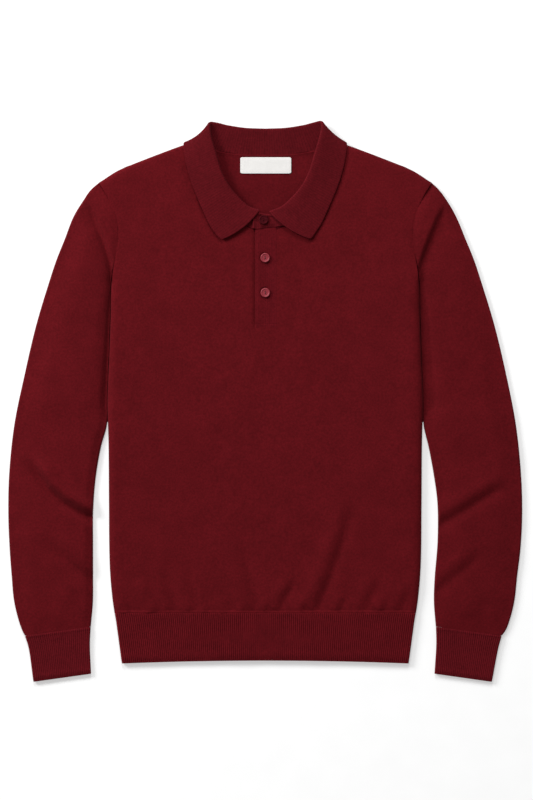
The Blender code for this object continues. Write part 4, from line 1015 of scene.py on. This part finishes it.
def neck_band():
    """The stand's overlapping end under the top button, with a rounded free end."""
    x = np.concatenate([BAND_LEFT + BAND_STEPS, np.linspace(BAND_LEFT + 8.6, BAND_RIGHT, 26)])
    short = np.clip(1 - (x - BAND_LEFT) / BAND_ROUND, 0.0, 1.0)
    drop = BAND_ROUND * (1 - np.sqrt(1 - short**2))
    head = BAND_HEAD - drop - BAND_FALL * ease((x - BAND_LEFT - BAND_ROUND) / 14.0)
    foot = BAND_FOOT - 0.6 + 0.4 * drop + band_slant(x)
    share = np.concatenate([[0.0, 0.02, 0.06], np.linspace(0.12, 0.88, 20), [0.94, 0.98, 1.0]])[:, None]
    y = foot + (head - foot) * share
    wide = np.broadcast_to(x, y.shape)
    near = np.minimum(np.minimum(y - foot, head - y), wide - BAND_LEFT)
    low = 1 - ease((np.abs(wide - BAND_SINK_AT) - BAND_SINK_FADE) / BAND_SINK_FADE)
    z = BAND_Z - BAND_SINK * low * (1 - ease((y - foot) / BAND_SINK_FADE))
    rim = np.minimum(head - y, wide - BAND_LEFT)
    z += BAND_RIM * bell((rim - BAND_RIM_AT) / BAND_RIM_HALF) - 0.5 * (1 - quarter(rim / 2.0))
    z -= button_ring("button_top", wide, y, 1.2)
    faces = set_out(np.dstack([wide, y, z]), BAND_WALL, thin=0.4 + 0.6 * quarter(near / 1.2))
    made = cloth("neck_band_knit", "neck_band", COLLAR, faces, np.dstack([wide, y]) * MM)
    laid(faces, (43, 22))


def placket_strip(name, node, left, right, tilt_left, tilt_right):
    """A strip of the placket that fills the notch, tilted so that one lies over the other."""
    near = STRIP_STEPS
    foot, head = NOTCH_FOOT - 0.1, FRONT_NECK[-1, 1] + 1.0
    x, y = np.meshgrid(np.concatenate([left + near, np.linspace(left + 3, right - 3, 50), right - near[::-1]]),
                       np.concatenate([foot + near, np.linspace(foot + 3, head, 240)]))
    y = y + band_slant(x) * ease((y - head + 40.0) / 40.0)
    share = (x - left) / (right - left)
    above_foot = ease((y - foot) / 16.0)
    tilt = tilt_right + (tilt_left - tilt_right) * (1 - share) ** 2
    z = front_height(x, y, detail=False) + above_foot * tilt
    z -= (1 - above_foot) * (0.0 if node == "placket_top" else PLACKET_WALL + SEAM)
    z += waver(x, y, "placket")
    if node == "placket_top":
        z -= button_ring("button_middle", x, y, 1.3) + button_ring("button_bottom", x, y, 1.3)
        z -= 0.8 * bell((x - left) / 3.2) * above_foot + 0.15 * bell((y - foot - 5.0) / 0.8)
    thin = 0.45 + 0.55 * quarter((x - left) / 1.2)
    faces = set_out(np.dstack([x, y, z]), PLACKET_WALL, thin=thin)
    made = cloth(name, node, PLACKET, faces, np.dstack([x, y]) * MM)
    laid(faces, (right - left, head - foot))


def rings(count, sides):
    """Quads between the rings of a closed grid."""
    r, c = (a.ravel() for a in np.meshgrid(np.arange(count - 1), np.arange(sides), indexing="ij"))
    d = (c + 1) % sides
    return np.column_stack([r * sides + c, (r + 1) * sides + c, (r + 1) * sides + d, r * sides + d]).tolist()


def body_of(name, points, faces):
    """A smooth closed mesh of points in millimetres, its faces turned to point out."""
    mesh = bpy.data.meshes.new(name)
    mesh.from_pydata(points.reshape(-1, 3) * MM, [], faces)
    work = bmesh.new()
    work.from_mesh(mesh)
    bmesh.ops.recalc_face_normals(work, faces=work.faces)
    work.to_mesh(mesh)
    work.free()
    mesh.shade_smooth()
    return mesh


def strand(name, look, path, radius, sides=8):
    """A thread: a circle of the given radius carried along a path, closed at both ends."""
    ahead = unit(np.gradient(path, axis=0))
    beside = unit(np.cross(ahead, [1.0, 0.0, 0.0]))
    third = np.cross(ahead, beside)
    turn = np.linspace(0.0, math.tau, sides, endpoint=False)
    ring = radius * (np.cos(turn)[None, :, None] * beside[:, None] + np.sin(turn)[None, :, None] * third[:, None])
    points = np.concatenate([(path[:, None] + ring).reshape(-1, 3), path[[0, -1]]])
    rows, k = len(path), np.arange(sides)
    after, base = (k + 1) % sides, (rows - 1) * sides
    first = np.column_stack([k, after, np.full(sides, rows * sides)])
    last = np.column_stack([base + after, base + k, np.full(sides, rows * sides + 1)])
    piece(name, None, look, body_of(name, points, rings(rows, sides) + first.tolist() + last.tolist()))


def button_points(radii, turns, top):
    """A face of a button: a polar grid whose height follows its turned profile, with two sunk holes."""
    r, a = np.meshgrid(radii, turns, indexing="ij")
    x, y = r * np.cos(a), r * np.sin(a)
    if not top:
        return np.dstack([x, y, BUTTON_FOOT_ROUND[0] * (1 - quarter((BUTTON_RADIUS - r) / BUTTON_FOOT_ROUND[1]))])
    inner = BUTTON_RADIUS - BUTTON_RIM
    z = BUTTON_HEIGHT - BUTTON_DISH * (1 - ease((r - inner + 0.9) / 1.3))
    z -= BUTTON_RIM_ROUND[0] * (1 - quarter((BUTTON_RADIUS - r) / BUTTON_RIM_ROUND[1]))
    for end in (-1, 1):
        away = np.hypot(x, y - end * HOLE_REACH)
        z -= HOLE_DEPTH * (1 - ease((away - HOLE_RADIUS + 0.28) / 0.42))
    return np.dstack([x, y, z])


def button(node, spot):
    """A round two-hole button with a raised rim, sewn on by one bar of thread."""
    x, y = spot
    radii = np.concatenate([[0.0001], np.linspace(0.12, 4.2, 34), np.linspace(4.35, 5.6, 10),
                            BUTTON_RADIUS - BUTTON_STEPS])
    turns = np.linspace(0.0, math.tau, 96, endpoint=False)
    if node == "button_top":
        # The top button and its thread take the resin with painted shade.
        height, slope, resin, thread = BAND_Z + BAND_WALL / 2 + SEAM, 0.0, BUTTON_PAINTED_SHADE, BUTTON_PAINTED_SHADE
    else:
        wide = PLACKET_RIGHT - PLACKET_LEFT
        height = float(front_height(np.array([[x]]), np.array([[y]]), detail=False)[0, 0])
        height += PLACKET_TILT * (1 - (x - PLACKET_LEFT) / wide) ** 2 + PLACKET_WALL / 2 + SEAM + 0.05
        slope, resin, thread = math.atan2(PLACKET_TILT, wide), BUTTON, THREAD

    def place(points):
        turned = points.copy()
        turned[..., 0] = points[..., 0] * math.cos(slope) + points[..., 2] * math.sin(slope)
        turned[..., 2] = points[..., 2] * math.cos(slope) - points[..., 0] * math.sin(slope)
        return turned + np.array([x, y, height])

    grid = np.concatenate([place(button_points(radii, turns, True)), place(button_points(radii, turns, False))[::-1]])
    rows, sides = grid.shape[:2]
    caps = [list(range(sides))[::-1], [(rows - 1) * sides + k for k in range(sides)]]
    mesh = body_of(node + "_shell", grid, rings(rows, sides) + caps)
    mesh.set_sharp_from_angle(angle=math.radians(50))
    piece(node + "_shell", node, resin, mesh)
    t = np.linspace(-1.0, 1.0, 15)
    arch = BUTTON_HEIGHT - BUTTON_DISH - 0.75 + THREAD_ARCH * np.sqrt(1 - t**4 * 0.98)
    for k, side in enumerate((-THREAD_RADIUS - 0.02, THREAD_RADIUS + 0.02)):
        path = np.column_stack([np.full(15, side), HOLE_REACH * t, arch])
        strand(f"{node}_thread_{k}", thread, place(path), THREAD_RADIUS)


def neck_label():
    """Bare woven label inside the back of the neck: a thin sheet with rounded corners and turned ends."""
    wide, deep = LABEL_SIZE[0] / 2, LABEL_SIZE[1] / 2
    x, y = np.meshgrid(wide * np.linspace(-1.0, 1.0, 90), deep * np.linspace(-1.0, 1.0, 36))
    past = np.clip((np.abs(y) - deep + LABEL_CORNER) / LABEL_CORNER, 0, 1)
    pull = LABEL_CORNER * (1 - np.sqrt(1 - past**2))
    x = x * (1 - pull / wide)
    near = np.minimum(wide - pull - np.abs(x), deep - np.abs(y))
    base = BACK_Z + NECK_LIFT + HALF + SEAM + LABEL_WALL / 2
    z = base + waver(x, y, "label") - 0.12 * bell((near - 1.6) / 0.5)
    middle = np.dstack([LABEL_CENTRE[0] + x, LABEL_CENTRE[1] + y, z])
    faces = set_out(middle, LABEL_WALL, thin=0.45 + 0.55 * quarter(near / 0.6))
    made = cloth("neck_label_sheet", "neck_label", LABEL, faces, middle[..., :2] * MM)
    laid(faces, LABEL_SIZE)


# ---- studio ----
def sheet_of_floor(name, look, rectangles, height):
    """Flat rectangles of the floor, from x, y to x, y in metres."""
    points = [(x, y, height) for x0, y0, x1, y1 in rectangles for x, y in ((x0, y0), (x1, y0), (x1, y1), (x0, y1))]
    mesh = bpy.data.meshes.new(name)
    mesh.from_pydata(points, [], [list(range(k, k + 4)) for k in range(0, len(points), 4)])
    mesh.materials.append(look.made)
    made = bpy.data.objects.new(name, mesh)
    bpy.context.scene.collection.objects.link(made)


def studio():
    """A softly lit white table, an even sky, two large soft lights from the left and the head, the camera above."""
    scene = bpy.context.scene
    paper = Finish("studio_paper", 0.9, 0.0)
    tone = paper.span(paper.noise(40.0, 2.0), 0.3, 0.7, 0.0, 1.0)
    paper.colour(paper.blend(tone, (0.61, 0.61, 0.61, 1.0), (0.63, 0.63, 0.63, 1.0)))
    paper.plain("Emission Color", (1.0, 1.0, 1.0, 1.0))
    paper.plain("Emission Strength", FLOOR_GLOW)
    # A dark red sheet without glow: painted shade, with the red light the cloth bounces, on the floor under the
    # garment.
    shade = Finish("studio_paper_painted_shade", 0.9, 0.0)
    shade.plain("Base Color", (0.04, 0.004, 0.006, 1.0))
    sheet_of_floor("floor", paper, [(-FLOOR_HALF, -FLOOR_HALF, FLOOR_HALF, FLOOR_HALF)], 0.0)
    sheet_of_floor("floor_painted_shade", shade, np.array(PAINTED_FLOOR_SHADE) * MM, SHADE_ABOVE)
    world = bpy.data.worlds.new("sky")
    world.use_nodes = True
    sky = world.node_tree.nodes["Background"].inputs
    sky[0].default_value, sky[1].default_value = (1.0, 1.0, 1.0, 1.0), SKY
    scene.world = world
    for name, (turn, up, share, size) in LAMPS.items():
        turn, up = math.radians(turn), math.radians(up)
        lamp = bpy.data.lights.new("softbox_" + name, "AREA")
        lamp.shape, lamp.size = "DISK", size
        lamp.energy = share * math.pi**2 * LAMP_AWAY**2 / math.sin(up)
        box = bpy.data.objects.new("softbox_" + name, lamp)
        spot = Vector((math.cos(up) * math.cos(turn), math.cos(up) * math.sin(turn), math.sin(up)))
        box.location = spot * LAMP_AWAY
        box.rotation_euler = (-spot).to_track_quat("-Z", "Y").to_euler()
        box.visible_camera = False
        scene.collection.objects.link(box)
    lens = bpy.data.cameras.new("overhead")
    lens.sensor_width, lens.lens, lens.clip_end = SENSOR, LENS, 20.0
    camera = bpy.data.objects.new("overhead", lens)
    camera.location = CAMERA
    scene.collection.objects.link(camera)
    scene.camera = camera
    scene.view_settings.view_transform = "Standard"


back_panel()
front_panel()
hem_back()
hem_front()
sleeve("right", "sleeve_left_knit", "sleeve_left")
sleeve("left", "sleeve_right_knit", "sleeve_right")
cuff("right", "cuff_left_rib", "cuff_left")
cuff("left", "cuff_right_rib", "cuff_right")
placket_strip("placket_under_strip", "placket_under", UNDER_LEFT, UNDER_RIGHT, 0.0, -PLACKET_TILT)
placket_strip("placket_top_strip", "placket_top", PLACKET_LEFT, PLACKET_RIGHT, PLACKET_TILT, 0.0)
collar()
neck_band()
neck_label()
for node, spot in BUTTONS.items():
    button(node, spot)
studio()
